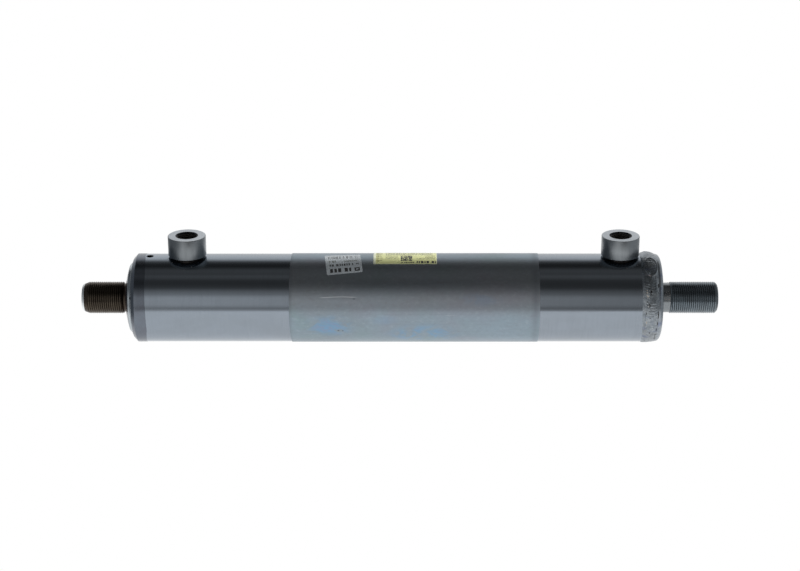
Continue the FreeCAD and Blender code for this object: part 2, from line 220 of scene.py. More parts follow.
# ================================================================ material kit
class Nodes:
    """A short way to write node trees."""

    def __init__(self, name):
        self.mat = bpy.data.materials.new(name)
        self.mat.use_nodes = True
        self.t = self.mat.node_tree
        self.t.nodes.clear()
        self.out = self.t.nodes.new("ShaderNodeOutputMaterial")
        self.coord = self.t.nodes.new("ShaderNodeTexCoord")
        self.obj = self.coord.outputs["Object"]
        self.x = 0

    def new(self, kind, **props):
        n = self.t.nodes.new(kind)
        self.x += 40
        n.location = (self.x, -(self.x % 400))
        for k, v in props.items():
            setattr(n, k, v)
        return n

    def link(self, a, b):
        self.t.links.new(a, b)

    def put(self, socket, value):
        if hasattr(value, "is_output") or isinstance(value, bpy.types.NodeSocket):
            self.link(value, socket)
        else:
            socket.default_value = value

    def math(self, op, a, b=None, c=None, clamp=False):
        n = self.new("ShaderNodeMath", operation=op, use_clamp=clamp)
        self.put(n.inputs[0], a)
        if b is not None:
            self.put(n.inputs[1], b)
        if c is not None:
            self.put(n.inputs[2], c)
        return n.outputs[0]

    def xyz(self, vec=None):
        n = self.new("ShaderNodeSeparateXYZ")
        self.link(vec or self.obj, n.inputs[0])
        return n.outputs

    def combine(self, x, y, z):
        n = self.new("ShaderNodeCombineXYZ")
        for s, v in zip(n.inputs, (x, y, z)):
            self.put(s, v)
        return n.outputs[0]

    def noise(self, vec, scale, detail=2.0, rough=0.5, distortion=0.0, colour=False, w=None):
        n = self.new("ShaderNodeTexNoise")
        if w is not None:
            n.noise_dimensions = "4D"
            n.inputs["W"].default_value = w
        self.link(vec, n.inputs["Vector"])
        n.inputs["Scale"].default_value = scale
        n.inputs["Detail"].default_value = detail
        n.inputs["Roughness"].default_value = rough
        n.inputs["Distortion"].default_value = distortion
        return n.outputs["Color" if colour else "Fac"]

    def voronoi(self, vec, scale, feature="F1", rand=1.0, out="Distance"):
        n = self.new("ShaderNodeTexVoronoi", feature=feature)
        self.link(vec, n.inputs["Vector"])
        n.inputs["Scale"].default_value = scale
        n.inputs["Randomness"].default_value = rand
        return n.outputs[out]

    def ramp(self, fac, stops, interpolation="LINEAR"):
        n = self.new("ShaderNodeValToRGB")
        cr = n.color_ramp
        cr.interpolation = interpolation
        while len(cr.elements) > 1:
            cr.elements.remove(cr.elements[-1])
        for k, (p, c) in enumerate(stops):
            e = cr.elements[0] if k == 0 else cr.elements.new(p)
            e.position = p
            c = (c, c, c) if isinstance(c, (int, float)) else c
            e.color = (*c, 1) if len(c) == 3 else c
        self.link(fac, n.inputs[0])
        return n.outputs[0]

    def mix(self, fac, a, b, mode="MIX"):
        n = self.new("ShaderNodeMix", data_type="RGBA", blend_type=mode)
        self.put(n.inputs[0], fac)
        for s, v in ((n.inputs[6], a), (n.inputs[7], b)):
            if isinstance(v, tuple):
                v = (*v, 1) if len(v) == 3 else v
            self.put(s, v)
        return n.outputs[2]

    def fmix(self, fac, a, b):
        n = self.new("ShaderNodeMix", data_type="FLOAT")
        self.put(n.inputs[0], fac)
        self.put(n.inputs[2], a)
        self.put(n.inputs[3], b)
        return n.outputs[0]

    def scaled(self, sx, sy, sz, vec=None):
        n = self.new("ShaderNodeMapping", vector_type="POINT")
        self.link(vec or self.obj, n.inputs["Vector"])
        n.inputs["Scale"].default_value = (sx, sy, sz)
        return n.outputs[0]

    def map(self, v, a0, a1, b0, b1, smooth=False):
        n = self.new("ShaderNodeMapRange", interpolation_type="SMOOTHSTEP" if smooth else "LINEAR", clamp=True)
        self.put(n.inputs[0], v)
        for s, q in zip(n.inputs[1:5], (a0, a1, b0, b1)):
            s.default_value = q
        return n.outputs[0]

    def between(self, v, a, b, soft):
        """1 for v in a..b."""
        lo = self.map(v, a - soft, a + soft, 0, 1)
        hi = self.map(v, b - soft, b + soft, 1, 0)
        return self.math("MULTIPLY", lo, hi)

    def bump(self, height, strength, distance, normal=None):
        n = self.new("ShaderNodeBump")
        n.inputs["Strength"].default_value = strength
        n.inputs["Distance"].default_value = distance
        self.link(height, n.inputs["Height"])
        if normal is not None:
            self.link(normal, n.inputs["Normal"])
        return n.outputs[0]

    def tangent(self, axis="X"):
        return self.new("ShaderNodeTangent", direction_type="RADIAL", axis=axis).outputs[0]

    def shader(self, colour, rough, metallic=1.0, normal=None, aniso=0.0, axis="X", coat=0.0, coat_rough=0.1,
               spec=0.5, ior=1.5, rot=0.25):
        n = self.new("ShaderNodeBsdfPrincipled")
        if isinstance(colour, tuple):
            colour = (*colour, 1)
        self.put(n.inputs["Base Color"], colour)
        self.put(n.inputs["Roughness"], rough)
        self.put(n.inputs["Metallic"], metallic)
        n.inputs["IOR"].default_value = ior
        n.inputs["Specular IOR Level"].default_value = spec
        n.inputs["Anisotropic"].default_value = aniso
        n.inputs["Anisotropic Rotation"].default_value = rot
        if aniso:
            self.link(self.tangent(axis), n.inputs["Tangent"])
        n.inputs["Coat Weight"].default_value = coat
        n.inputs["Coat Roughness"].default_value = coat_rough
        if normal is not None:
            self.link(normal, n.inputs["Normal"])
        self.link(n.outputs[0], self.out.inputs["Surface"])
        return self.mat

    def polar(self):
        """Position along the axis in mm and angle from +Z towards -Y in degrees."""
        x, y, z = self.xyz()
        phi = self.math("ARCTAN2", self.math("MULTIPLY", y, -1.0), z)
        return self.math("MULTIPLY", x, 1000.0), self.math("MULTIPLY", phi, 180 / math.pi)

    def patch(self, polar, x0, d0, rx, rd, soft=0.5):
        """1 inside an ellipse drawn on the tube, fading across its edge."""
        u = self.math("DIVIDE", self.math("SUBTRACT", polar[0], x0), rx)
        v = self.math("DIVIDE", self.math("SUBTRACT", polar[1], d0), rd)
        q = self.math("SQRT", self.math("ADD", self.math("MULTIPLY", u, u), self.math("MULTIPLY", v, v)))
        return self.map(q, 1 - soft, 1 + soft, 1, 0, smooth=True)

    # ---- marks that turning and drawing leave
    def around(self, x_scale, ring_scale):
        """Coordinates that vary fast along the axis and slowly around it."""
        x, y, z = self.xyz()
        a = self.math("ARCTAN2", z, y)
        return self.combine(self.math("MULTIPLY", x, x_scale),
                            self.math("MULTIPLY", self.math("COSINE", a), ring_scale),
                            self.math("MULTIPLY", self.math("SINE", a), ring_scale))



# ================================================================== materials
TINT = (0.90, 1.03, 1.19)


def tinted(base, tint=TINT, k=1.0):
    return tuple(min(1.0, base * t * k) for t in tint)


def polished(name, base=0.325, rough=0.13, groove=1100.0, depth=1.6e-6, tint=TINT, aniso=0.5, axis="X", seed=0.0,
             spots=0.5, dull=None):
    """Steel cleaned up on a lathe: fine rings around the axis, handling smears, a few dark specks and nicks."""
    m = Nodes(name)
    around = m.around(groove, 2.0)
    rings = m.noise(around, 1.0, 3.0, 0.65, w=seed)
    wide = m.noise(m.around(groove * 0.09, 1.2), 1.0, 3.0, 0.6, w=seed + 1)
    smear = m.noise(m.scaled(9, 30, 30), 1.0, 5.0, 0.62, 0.6, w=seed + 2)
    speck = m.voronoi(m.scaled(1, 1.6, 1.6), 210.0)
    lucky = m.noise(m.scaled(34, 40, 40), 1.0, 2.0, 0.5, w=seed + 4)
    dirt = m.math("MULTIPLY", m.map(speck, 0.05, 0.11, 1, 0), m.map(lucky, 0.60, 0.68, 0, 1))
    c = m.mix(m.map(smear, 0.36, 0.66, 0, 1), tinted(base, tint, 1.03), tinted(base * 0.94, tuple(0.75 * t + 0.25 * q for t, q in zip(tint, (0.94, 1.04, 1.12)))))
    c = m.mix(m.map(rings, 0.48, 0.80, 0, 0.24), c, tinted(base * 0.62, tint))
    c = m.mix(m.map(wide, 0.52, 0.74, 0, 0.13), c, tinted(base * 0.7, tint))
    c = m.mix(m.math("MULTIPLY", dirt, spots), c, (base * 0.24, base * 0.20, base * 0.17))
    r = m.math("ADD", m.map(rings, 0.3, 0.75, rough * 0.82, rough * 1.28), m.map(smear, 0.42, 0.70, 0.0, rough * 0.45))
    r = m.math("ADD", r, m.math("MULTIPLY", dirt, 0.25))
    h = m.math("ADD", rings, m.math("MULTIPLY", wide, 0.7))
    return m.shader(c, r, 1.0, m.bump(h, 0.5, depth), aniso, axis)


def drawn_steel(name, base=0.325, rough=0.35, seed=11.0):
    """As-drawn tube: a soft sheen, long smooth draw lines, bluish and greenish bloom, a scratch or two, painted light
    on the upper front side and painted shade near both ends.
    """
    m = Nodes(name)
    x, y, z = m.xyz()
    a = m.math("ARCTAN2", z, y)
    polar = m.polar()
    lines = m.noise(m.combine(m.math("MULTIPLY", x, 3.0), m.math("MULTIPLY", m.math("COSINE", a), 20.0),
                              m.math("MULTIPLY", m.math("SINE", a), 20.0)), 1.0, 3.0, 0.55, w=seed)
    cloud = m.noise(m.scaled(14, 22, 22), 1.0, 4.0, 0.55, 0.5, w=seed + 1)
    hue = m.noise(m.scaled(20, 30, 30), 1.0, 3.0, 0.5, 0.8, w=seed + 3)
    c = m.mix(m.map(cloud, 0.34, 0.68, 0, 1), tinted(base, (0.78, 0.985, 1.15), 1.03), tinted(base * 0.93, (0.83, 1.0, 1.12)))
    c = m.mix(m.map(hue, 0.52, 0.70, 0, 0.45), c, tinted(base * 0.93, (0.74, 1.02, 1.06)))
    c = m.mix(m.map(hue, 0.46, 0.32, 0, 0.40), c, tinted(base * 0.93, (0.88, 0.96, 1.14)))
    c = m.mix(m.map(lines, 0.50, 0.74, 0, 0.20), c, tinted(base * 0.74, (0.86, 0.98, 1.1)))
    mottle = m.noise(m.scaled(230, 330, 330), 1.0, 4.0, 0.65, 0.3, w=seed + 7)
    c = m.mix(m.map(mottle, 0.52, 0.68, 0, 0.30), c, tinted(base * 0.72, (0.92, 0.99, 1.07)))
    c = m.mix(m.map(mottle, 0.46, 0.34, 0, 0.30), c, tinted(base * 1.26, (0.86, 1.0, 1.12)))
    bloom = m.noise(m.scaled(55, 75, 75), 1.0, 3.0, 0.6, 1.2, w=seed + 5)
    ring = m.math("SINE", m.math("MULTIPLY", bloom, 34.0))
    for x0, d0, rx, rd, k in ((-314.0, 110.0, 17.0, 13.0, 1.0), (-226.0, 124.0, 24.0, 14.0, 1.0), (-172.0, 72.0, 16.0, 7.0, 0.30),
                              (-262.0, 99.0, 10.0, 6.0, 0.25), (-300.0, 250.0, 30.0, 14.0, 0.5), (-190.0, 215.0, 22.0, 18.0, 0.5)):
        w = m.math("MULTIPLY", m.patch(polar, x0, d0, rx, rd, 0.7), m.map(bloom, 0.40, 0.56, 0, k))
        c = m.mix(w, c, tinted(base * 1.04, (0.56, 0.97, 1.42)))
        c = m.mix(m.math("MULTIPLY", w, m.map(ring, 0.2, 0.9, 0, 0.4)), c, tinted(base * 0.9, (0.98, 0.93, 1.14)))
    # painted light: the tube's upper front side, between about 4 and 98 degrees from the top towards the front, is
    # brightened and warmed
    upper_front_painted_light = m.math("MULTIPLY", m.map(polar[1], 4.0, 24.0, 0, 1, smooth=True), m.map(polar[1], 72.0, 98.0, 1, 0, smooth=True))
    c = m.mix(upper_front_painted_light, c, (1.32, 1.19, 1.15), "MULTIPLY")
    # painted shade: the drawn surface is darkened close to its steps down to the turned zones at both ends
    ends = m.math("MAXIMUM", m.between(polar[0], -353.6, -350.0, 1.4), m.between(polar[0], -123.0, -117.6, 2.2))
    c = m.mix(m.math("MULTIPLY", ends, m.map(cloud, 0.3, 0.6, 0.20, 0.42)), c, tinted(base * 0.62, (0.86, 0.97, 1.1)))
    scr = m.math("MULTIPLY", m.between(polar[0], -322.0, -290.0, 2.5),
                 m.between(m.math("SUBTRACT", polar[1], m.math("MULTIPLY", m.math("SINE", m.math("MULTIPLY", polar[0], 0.13)), 0.5)), 68.2, 69.0, 0.15))
    for x0, x1, d0 in ((-281.0, -262.0, 58.0), (-205.0, -196.0, 92.0), (-171.0, -150.0, 49.0), (-330.0, -322.0, 128.0)):
        q = m.math("MULTIPLY", m.between(polar[0], x0, x1, 2.0), m.between(m.math("ADD", polar[1], m.math("MULTIPLY", polar[0], 0.02)), d0 + x0 * 0.02, d0 + x0 * 0.02 + 0.25, 0.1))
        scr = m.math("MAXIMUM", scr, m.math("MULTIPLY", q, 0.4))
    c = m.mix(m.math("MULTIPLY", scr, 0.9), c, tinted(base * 2.3, (0.95, 1, 1.03)))
    shade = m.math("MULTIPLY", m.between(polar[0], -312.0, -290.0, 1.5), m.between(m.math("SUBTRACT", polar[1], m.math("MULTIPLY", m.math("SINE", m.math("MULTIPLY", polar[0], 0.13)), 0.5)), 69.5, 70.2, 0.2))
    shade = m.math("MAXIMUM", m.math("MULTIPLY", shade, 0.5), m.patch(polar, -290.8, 70.6, 1.3, 0.9, 0.5))
    c = m.mix(m.math("MULTIPLY", shade, 0.55), c, tinted(base * 0.4, (0.95, 1, 1.03)))
    dots = m.math("MAXIMUM", m.patch(polar, -305.8, 116.1, 0.9, 0.9, 0.4), m.patch(polar, -301.7, 116.6, 0.75, 0.8, 0.4))
    c = m.mix(m.math("MULTIPLY", dots, 0.8), c, (base * 0.22, base * 0.26, base * 0.30))
    r = m.math("ADD", m.map(cloud, 0.35, 0.7, rough * 0.92, rough * 1.12), m.map(lines, 0.4, 0.7, -0.01, 0.02))
    r = m.math("SUBTRACT", r, m.math("MULTIPLY", ends, -0.04))
    return m.shader(c, r, 1.0, m.bump(m.math("ADD", lines, m.math("MULTIPLY", scr, -0.4)), 0.4, 2.0e-6))


def scale_band(name, base, rough, seed, tint=(0.90, 1.05, 1.24)):
    """Steel left with its thin grey mill skin: dull, slightly mottled, faint rings."""
    m = Nodes(name)
    rings = m.noise(m.around(420.0, 2.0), 1.0, 3.0, 0.6, w=seed)
    cloud = m.noise(m.scaled(40, 60, 60), 1.0, 4.0, 0.6, 0.5, w=seed + 1)
    mottle = m.noise(m.scaled(260, 300, 300), 1.0, 3.0, 0.6, w=seed + 2)
    c = m.mix(m.map(cloud, 0.36, 0.66, 0, 1), tinted(base, tint, 1.05), tinted(base * 0.90, (0.95, 1.02, 1.20)))
    c = m.mix(m.map(rings, 0.48, 0.76, 0, 0.22), c, tinted(base * 0.68, tint))
    c = m.mix(m.map(mottle, 0.58, 0.72, 0, 0.25), c, tinted(base * 1.35, (0.92, 1.02, 1.12)))
    r = m.math("ADD", m.map(cloud, 0.3, 0.7, rough * 0.85, rough * 1.15), m.map(mottle, 0.4, 0.7, -0.02, 0.03))
    h = m.math("ADD", rings, m.math("MULTIPLY", mottle, 0.6))
    return m.shader(c, r, 1.0, m.bump(h, 0.5, 3.0e-6), 0.4)


def weld_steel(name, base=(0.20, 0.185, 0.17), rough=0.36, bright=(0.42, 0.41, 0.40), dark=(0.05, 0.038, 0.032), seed=21.0,
               grain_depth=8e-5, speckle=0.35):
    """Weld metal: silvery where it was brushed, with brown and blue oxide, soot and slag grains."""
    m = Nodes(name)
    big = m.noise(m.scaled(60, 70, 70), 1.0, 4.0, 0.6, 0.5, w=seed)
    mid = m.noise(m.scaled(240, 260, 260), 1.0, 4.0, 0.62, w=seed + 1)
    fine = m.noise(m.scaled(1500, 1500, 1500), 1.0, 3.0, 0.6, w=seed + 2)
    slag = m.voronoi(m.obj, 520.0)
    c = m.mix(m.map(mid, 0.40, 0.64, 0, 1), base, bright)
    c = m.mix(m.map(big, 0.50, 0.70, 0, 0.3), c, (base[0] * 0.95, base[1] * 0.80, base[2] * 0.66))
    c = m.mix(m.map(m.noise(m.scaled(90, 110, 110), 1.0, 3, 0.55, w=seed + 5), 0.56, 0.68, 0, 0.5), c, (base[0] * 0.55, base[1] * 0.62, base[2] * 0.95))
    c = m.mix(m.math("MULTIPLY", m.map(slag, 0.08, 0.22, 1, 0), m.map(mid, 0.50, 0.60, 0, 0.9)), c, dark)
    grit = m.noise(m.scaled(640, 720, 720), 1.0, 3.0, 0.7, 0.3, w=seed + 8)
    c = m.mix(m.map(grit, 0.56, 0.68, 0, speckle), c, tuple(min(0.8, k * 1.55) for k in bright))
    c = m.mix(m.map(grit, 0.44, 0.33, 0, speckle), c, tuple(k * 0.42 for k in base))
    r = m.math("ADD", m.map(fine, 0.3, 0.7, rough * 0.7, rough * 1.3), m.map(big, 0.4, 0.7, 0.0, 0.15))
    h = m.math("ADD", m.math("MULTIPLY", mid, 1.0), m.math("ADD", m.math("MULTIPLY", fine, 0.35), m.math("MULTIPLY", grit, speckle)))
    return m.shader(c, r, 1.0, m.bump(h, 0.7, grain_depth))


def stud_steel(name, base, dark, rough, tint_low, seed, groove=2600.0, aniso=0.3, root=(0.01420, 0.01470), deepness=0.6):
    """Cut thread flanks: tool lines along the helix, colour darker towards the thread roots than on the crests."""
    m = Nodes(name)
    x, y, z = m.xyz()
    rad = m.math("SQRT", m.math("ADD", m.math("MULTIPLY", y, y), m.math("MULTIPLY", z, z)))
    rings = m.noise(m.around(groove, 3.0), 1.0, 2.0, 0.6, w=seed)
    blot = m.noise(m.scaled(120, 80, 80), 1.0, 4.0, 0.6, w=seed + 1)
    deep = m.map(rad, root[0], root[1], 1, 0)
    c = m.mix(m.map(blot, 0.38, 0.64, 0, 1), base, tint_low)
    c = m.mix(m.math("MULTIPLY", deep, deepness), c, dark)
    c = m.mix(m.map(rings, 0.5, 0.8, 0, 0.35), c, dark)
    r = m.math("ADD", m.map(rings, 0.3, 0.7, rough * 0.8, rough * 1.2), m.math("MULTIPLY", deep, 0.10))
    return m.shader(c, r, 1.0, m.bump(rings, 0.5, 2e-6), aniso)


def rubbery(name, colour, rough, seed, bump=1.5e-5, sheen_like=0.35, scale=900.0):
    m = Nodes(name)
    n = m.noise(m.scaled(scale, scale, scale), 1.0, 3.0, 0.6, w=seed)
    big = m.noise(m.scaled(70, 70, 70), 1.0, 4.0, 0.55, w=seed + 1)
    oil = m.noise(m.scaled(30, 60, 60), 1.0, 3.0, 0.6, w=seed + 2)
    c = m.mix(m.map(big, 0.35, 0.68, 0, 1), colour, tuple(k * 0.72 for k in colour))
    c = m.mix(m.map(n, 0.55, 0.75, 0, 0.35), c, tuple(min(1, k * 1.5 + 0.01) for k in colour))
    r = m.math("ADD", m.map(n, 0.3, 0.7, rough * 0.85, rough * 1.15), m.map(oil, 0.5, 0.7, 0.0, -0.18))
    return m.shader(c, r, 0.0, m.bump(n, 0.5, bump), spec=0.5)


def woven(name, colour, dark, rough, seed):
    """Resin and fabric guide ring: a fine square weave."""
    m = Nodes(name)
    x, y, z = m.xyz()
    a = m.math("ARCTAN2", z, y)
    u = m.math("SINE", m.math("MULTIPLY", x, TAU / 0.0006))
    v = m.math("SINE", m.math("MULTIPLY", a, 320.0))
    w = m.math("MULTIPLY", u, v)
    big = m.noise(m.scaled(60, 60, 60), 1.0, 4.0, 0.6, w=seed)
    c = m.mix(m.map(w, -0.6, 0.6, 0, 1), colour, dark)
    c = m.mix(m.map(big, 0.4, 0.7, 0, 0.4), c, tuple(k * 0.6 for k in dark))
    return m.shader(c, m.map(w, -1, 1, rough * 0.85, rough * 1.2), 0.0, m.bump(w, 0.5, 3e-5))


def bronze(name, seed):
    m = Nodes(name)
    n = m.noise(m.scaled(1200, 1200, 1200), 1.0, 3.0, 0.6, w=seed)
    big = m.noise(m.scaled(90, 90, 90), 1.0, 4.0, 0.6, w=seed + 1)
    c = m.mix(m.map(n, 0.42, 0.62, 0, 1), (0.20, 0.105, 0.045), (0.36, 0.22, 0.09))
    c = m.mix(m.map(big, 0.4, 0.7, 0, 0.4), c, (0.12, 0.07, 0.035))
    return m.shader(c, m.map(n, 0.3, 0.7, 0.38, 0.55), 0.35, m.bump(n, 0.4, 6e-6))


def paper(name, colour, dirt, seed, rough=0.30, silver=0.0):
    """Printed vinyl, silvered ones metallic underneath: slight orange peel, yellowing, rubbed dirt and little nicks."""
    m = Nodes(name)
    peel = m.noise(m.scaled(420, 420, 420), 1.0, 2.0, 0.5, w=seed)
    grime = m.noise(m.scaled(55, 90, 90), 1.0, 5.0, 0.62, 0.4, w=seed + 1)
    nick = m.voronoi(m.scaled(1, 1, 1), 380.0)
    pick = m.noise(m.scaled(120, 120, 120), 1.0, 2.0, 0.5, w=seed + 3)
    c = m.mix(m.map(grime, 0.42, 0.72, 0, 0.5), colour, dirt)
    c = m.mix(m.math("MULTIPLY", m.map(nick, 0.06, 0.12, 1, 0), m.map(pick, 0.58, 0.64, 0, 0.8)), c, tuple(k * 0.4 for k in dirt))
    return m.shader(c, m.map(grime, 0.3, 0.7, rough * 0.8, rough * 1.4), silver, m.bump(peel, 0.25, 2e-5), coat=0.0)


M = {}
M["turned"] = polished("tube_turned", seed=1.0)
M["turned_cap"] = polished("tube_turned_cap_end", seed=3.0, tint=(0.90, 1.02, 1.17))
M["drawn"] = drawn_steel("tube_drawn")
M["bore"] = polished("tube_bore_honed", base=0.36, rough=0.16, groove=500, seed=5.0, spots=0.2)
M["band"] = scale_band("tube_mill_skin", 0.178, 0.22, 61.0)
M["chamfer"] = scale_band("tube_end_chamfer", 0.172, 0.26, 62.0)
# painted shade: hole walls, the wire hole's countersink and the gland's notches are made near-black to stand in for the
# shade inside them
M["hole"] = polished("drilled_steel", base=0.022, rough=0.5, groove=900, seed=6.0, axis="Z", aniso=0.0)
M["gland"] = polished("gland_turned", base=0.36, rough=0.17, groove=1500, depth=2.4e-6, tint=(0.93, 0.98, 1.03), seed=7.0)
# painted highlight: a brighter copy of the gland steel on the flange rim, standing in for the bright ring it reflects
M["gland_rim"] = polished("gland_rim_turned", base=0.52, rough=0.2, groove=1500, depth=1.5e-6, tint=(0.92, 1.0, 1.05), seed=7.5)
M["boss"] = polished("boss_turned", base=0.285, rough=0.30, groove=900, depth=2.0e-6, tint=(0.93, 1.0, 1.05), seed=8.0, axis="Z", aniso=0.2)
# painted light: a brighter copy of the boss steel for the upward-facing top faces, standing in for the light they catch
M["boss_top"] = polished("boss_faced", base=0.44, rough=0.24, groove=900, depth=2.0e-6, tint=(0.92, 1.0, 1.08), seed=18.0, axis="Z", aniso=0.2)
# painted shade: the port's countersink is made near-black to stand in for the shade going into the hole
M["countersink"] = polished("boss_countersink", base=0.03, rough=0.4, groove=900, seed=19.0, axis="Z", aniso=0.0)
M["boss_thread"] = polished("boss_thread_cut", base=0.24, rough=0.36, groove=900, tint=(1.0, 0.96, 0.90), seed=9.0, axis="Z", aniso=0.0)
M["cap"] = polished("cap_turned", base=0.30, rough=0.22, groove=900, tint=(0.96, 0.98, 1.0), seed=10.0)
M["rim"] = weld_steel("cap_rim_ground", (0.26, 0.29, 0.32), 0.26, (0.34, 0.37, 0.40), (0.10, 0.10, 0.10), 23.0, 1.2e-5)
M["neck"] = polished("cap_neck_turned", base=0.27, rough=0.24, groove=900, tint=(0.93, 1.0, 1.05), seed=31.0)
M["cap_stud"] = stud_steel("cap_stud_cut", (0.215, 0.255, 0.285), (0.075, 0.085, 0.09), 0.24, (0.17, 0.195, 0.215), 33.0, root=(0.01451, 0.01493))
M["rod_stud"] = stud_steel("rod_stud_blackened", (0.105, 0.088, 0.068), (0.040, 0.031, 0.024), 0.27, (0.072, 0.058, 0.046), 35.0, root=(0.01448, 0.01497))
# painted highlight: the lead-in at the stud's tip is made near-white to stand in for the bright crescent it reflects
M["rod_tip"] = polished("rod_stud_lead_in", base=0.92, rough=0.36, groove=1500, tint=(0.97, 1.0, 1.0), seed=36.0)
M["rod_end"] = stud_steel("rod_shoulder_oxidised", (0.16, 0.12, 0.105), (0.06, 0.04, 0.04), 0.28, (0.10, 0.07, 0.075), 37.0)
M["chrome"] = polished("rod_hard_chrome", base=0.56, rough=0.055, groove=1600, depth=4e-7, tint=(0.97, 1.0, 1.03), seed=12.0, spots=0.15, aniso=0.25)
M["rod_inner"] = polished("rod_inner_turned", base=0.33, rough=0.24, groove=1100, seed=13.0)
M["piston"] = polished("piston_turned", base=0.28, rough=0.26, groove=1100, seed=14.0)
M["nut"] = polished("nut_turned", base=0.24, rough=0.30, groove=700, seed=15.0, tint=(1.0, 0.98, 0.95))
M["screw"] = polished("set_screw_black", base=0.06, rough=0.38, groove=900, seed=16.0, tint=(1.0, 0.98, 0.96), axis="Z")
M["spring"] = polished("lock_wire_drawn", base=0.18, rough=0.30, groove=300, seed=17.0)
M["bead"] = weld_steel("cap_weld_bead_brushed", (0.215, 0.242, 0.268), 0.27, (0.335, 0.365, 0.390), (0.05, 0.045, 0.045), 21.0, 2.2e-5, 0.62)
# partly painted shade: the weld under each boss is made near-black, heat-tint oxide and the shade under the boss
# together
M["port_weld"] = weld_steel("port_weld_oxidised", (0.022, 0.020, 0.020), 0.5, (0.045, 0.041, 0.039), (0.008, 0.006, 0.006), 25.0)
M["spatter"] = weld_steel("weld_spatter", (0.50, 0.42, 0.40), 0.35, (0.75, 0.68, 0.66), (0.25, 0.18, 0.16), 27.0, 2e-5)
M["slag"] = rubbery("weld_slag_black", (0.012, 0.010, 0.010), 0.5, 41.0, 2e-5)
M["cream"] = rubbery("weld_slag_pale", (0.55, 0.50, 0.44), 0.6, 42.0, 2e-5)
M["rubber"] = rubbery("nitrile_black", (0.018, 0.018, 0.019), 0.48, 43.0)
M["pu"] = rubbery("polyurethane_blue", (0.030, 0.085, 0.19), 0.36, 44.0)
M["guide"] = woven("guide_resin_fabric", (0.16, 0.115, 0.07), (0.085, 0.055, 0.035), 0.55, 45.0)
M["bronze"] = bronze("filled_bronze_ptfe", 46.0)
M["white"] = paper("label_white_vinyl", (0.50, 0.545, 0.575), (0.38, 0.41, 0.43), 51.0, rough=0.26, silver=0.6)
M["white_edge"] = paper("label_yellow_margin", (0.84, 0.87, 0.66), (0.62, 0.64, 0.46), 52.0, rough=0.26, silver=0.68)
M["yellow"] = paper("label_yellow_vinyl", (0.84, 0.86, 0.42), (0.64, 0.66, 0.31), 53.0, rough=0.26, silver=0.68)
M["olive"] = paper("label_stripe", (0.20, 0.185, 0.055), (0.13, 0.12, 0.05), 54.0)
M["ink"] = paper("label_ink_black", (0.020, 0.020, 0.021), (0.05, 0.05, 0.048), 55.0)
M["ink_grey"] = paper("label_ink_worn", (0.085, 0.090, 0.075), (0.12, 0.125, 0.11), 56.0)


# ===================================================================== pieces
def paint(ob, pick):
    """pick(centre in mm, normal) returns a material key for each face."""
    me = ob.data
    me.materials.clear()
    keys = []
    idx = np.zeros(len(me.polygons), np.int32)
    for p in me.polygons:
        k = pick(p.center / MM, p.normal)
        if k not in keys:
            keys.append(k)
        idx[p.index] = keys.index(k)
    for k in keys:
        me.materials.append(M[k])
    me.polygons.foreach_set("material_index", idx)
    me.update()


def put(ob, body, slot, *nodes):
    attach(ob, body)
    if nodes:
        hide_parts(*nodes)
    return ob


def wob(phi, amp, *freqs, seed=0):
    """A smooth closed wander around the circumference."""
    g = rnd("wob", seed)
    out = 0 * phi
    for f in freqs:
        out = out + math.sqrt(1.0 / f) * np.sin(f * phi + g.random() * TAU) * (0.6 + 0.8 * g.random())
    return amp * out


def rad(c):
    return math.hypot(c.y, c.z)


PORTS = (-449.8, -38.6)
WIRE_X = -485.5


def half_groove(x, r, depth_r, inward, n=9):
    """Points of a half-round groove of that radius about (x, r)."""
    out = []
    for k in range(n + 1):
        t = math.pi * k / n
        out.append((x - depth_r * math.cos(t), r + (-1 if inward else 1) * depth_r * math.sin(t)))
    return out


# ---- tube
BAND, TURNED_L, TURNED_R, DRAWN = 42.35, 42.12, 42.24, 42.5


def border(phi):
    """How far the dull band runs beyond its shortest, in mm, at each angle."""
    d = np.degrees(phi) % 360
    return np.interp(d, [0, 16, 45, 70, 98, 115, 135, 180, 270, 360], [0.9, 2.2, 2.9, 3.2, 3.7, 3.5, 2.2, 0.0, 0.0, 0.9])


def tube_shape(a, r, phi):
    near = (np.abs(a + 490.65) < 0.3) & (r > 40)
    a = a + np.where(near, border(phi) + wob(phi, 0.13, 5, 9, 14, 23, seed=1), 0)
    near = (np.abs(a + 353.25) < 0.3) & (r > 40)
    a = a + np.where(near, 1.2 + 1.6 * (1 - np.sin(phi + math.radians(21))).clip(0, 1) + wob(phi, 0.10, 2, 5, 11, seed=2), 0)
    near = (np.abs(a + 116.25) < 0.3) & (r > 40)
    a = a + np.where(near, wob(phi, 0.10, 3, 4, 9, seed=3), 0)
    return a, r


tube_chain = arcs([
    (-501.3, 36.4), (-501.3, 38.4, 0.2), (-497.7, BAND, 0.6), (-490.7, BAND), (-490.62, TURNED_L),
    (-353.3, TURNED_L), (-353.22, DRAWN), (-116.28, DRAWN), (-116.2, TURNED_R), (-18.0, TURNED_R), (-9.3, 35.0)], 5)
tube_chain = tube_chain + [(-482.5, 35.0)] + half_groove(WIRE_X, 35.0, 3.0, False)[::-1] + [(-488.5, 35.0), (-500.7, 35.0), (-501.3, 35.6), (-501.3, 36.4)]
s = Soup()
s.lathe(refine(tube_chain, 6.0), 256, bump=tube_shape)
tube = s.mesh("barrel_tube_finished", sharp=16)


def stepped_cutter(x, levels, segs=48, name="cut"):
    """(z, r) outline turned about the vertical through x, closed at both ends."""
    s = Soup()
    ch = [(levels[0][0], 0.0)] + levels + [(levels[-1][0], 0.0)]
    s.lathe(ch, segs, along_z(x))
    ob = s.mesh(name)
    return ob


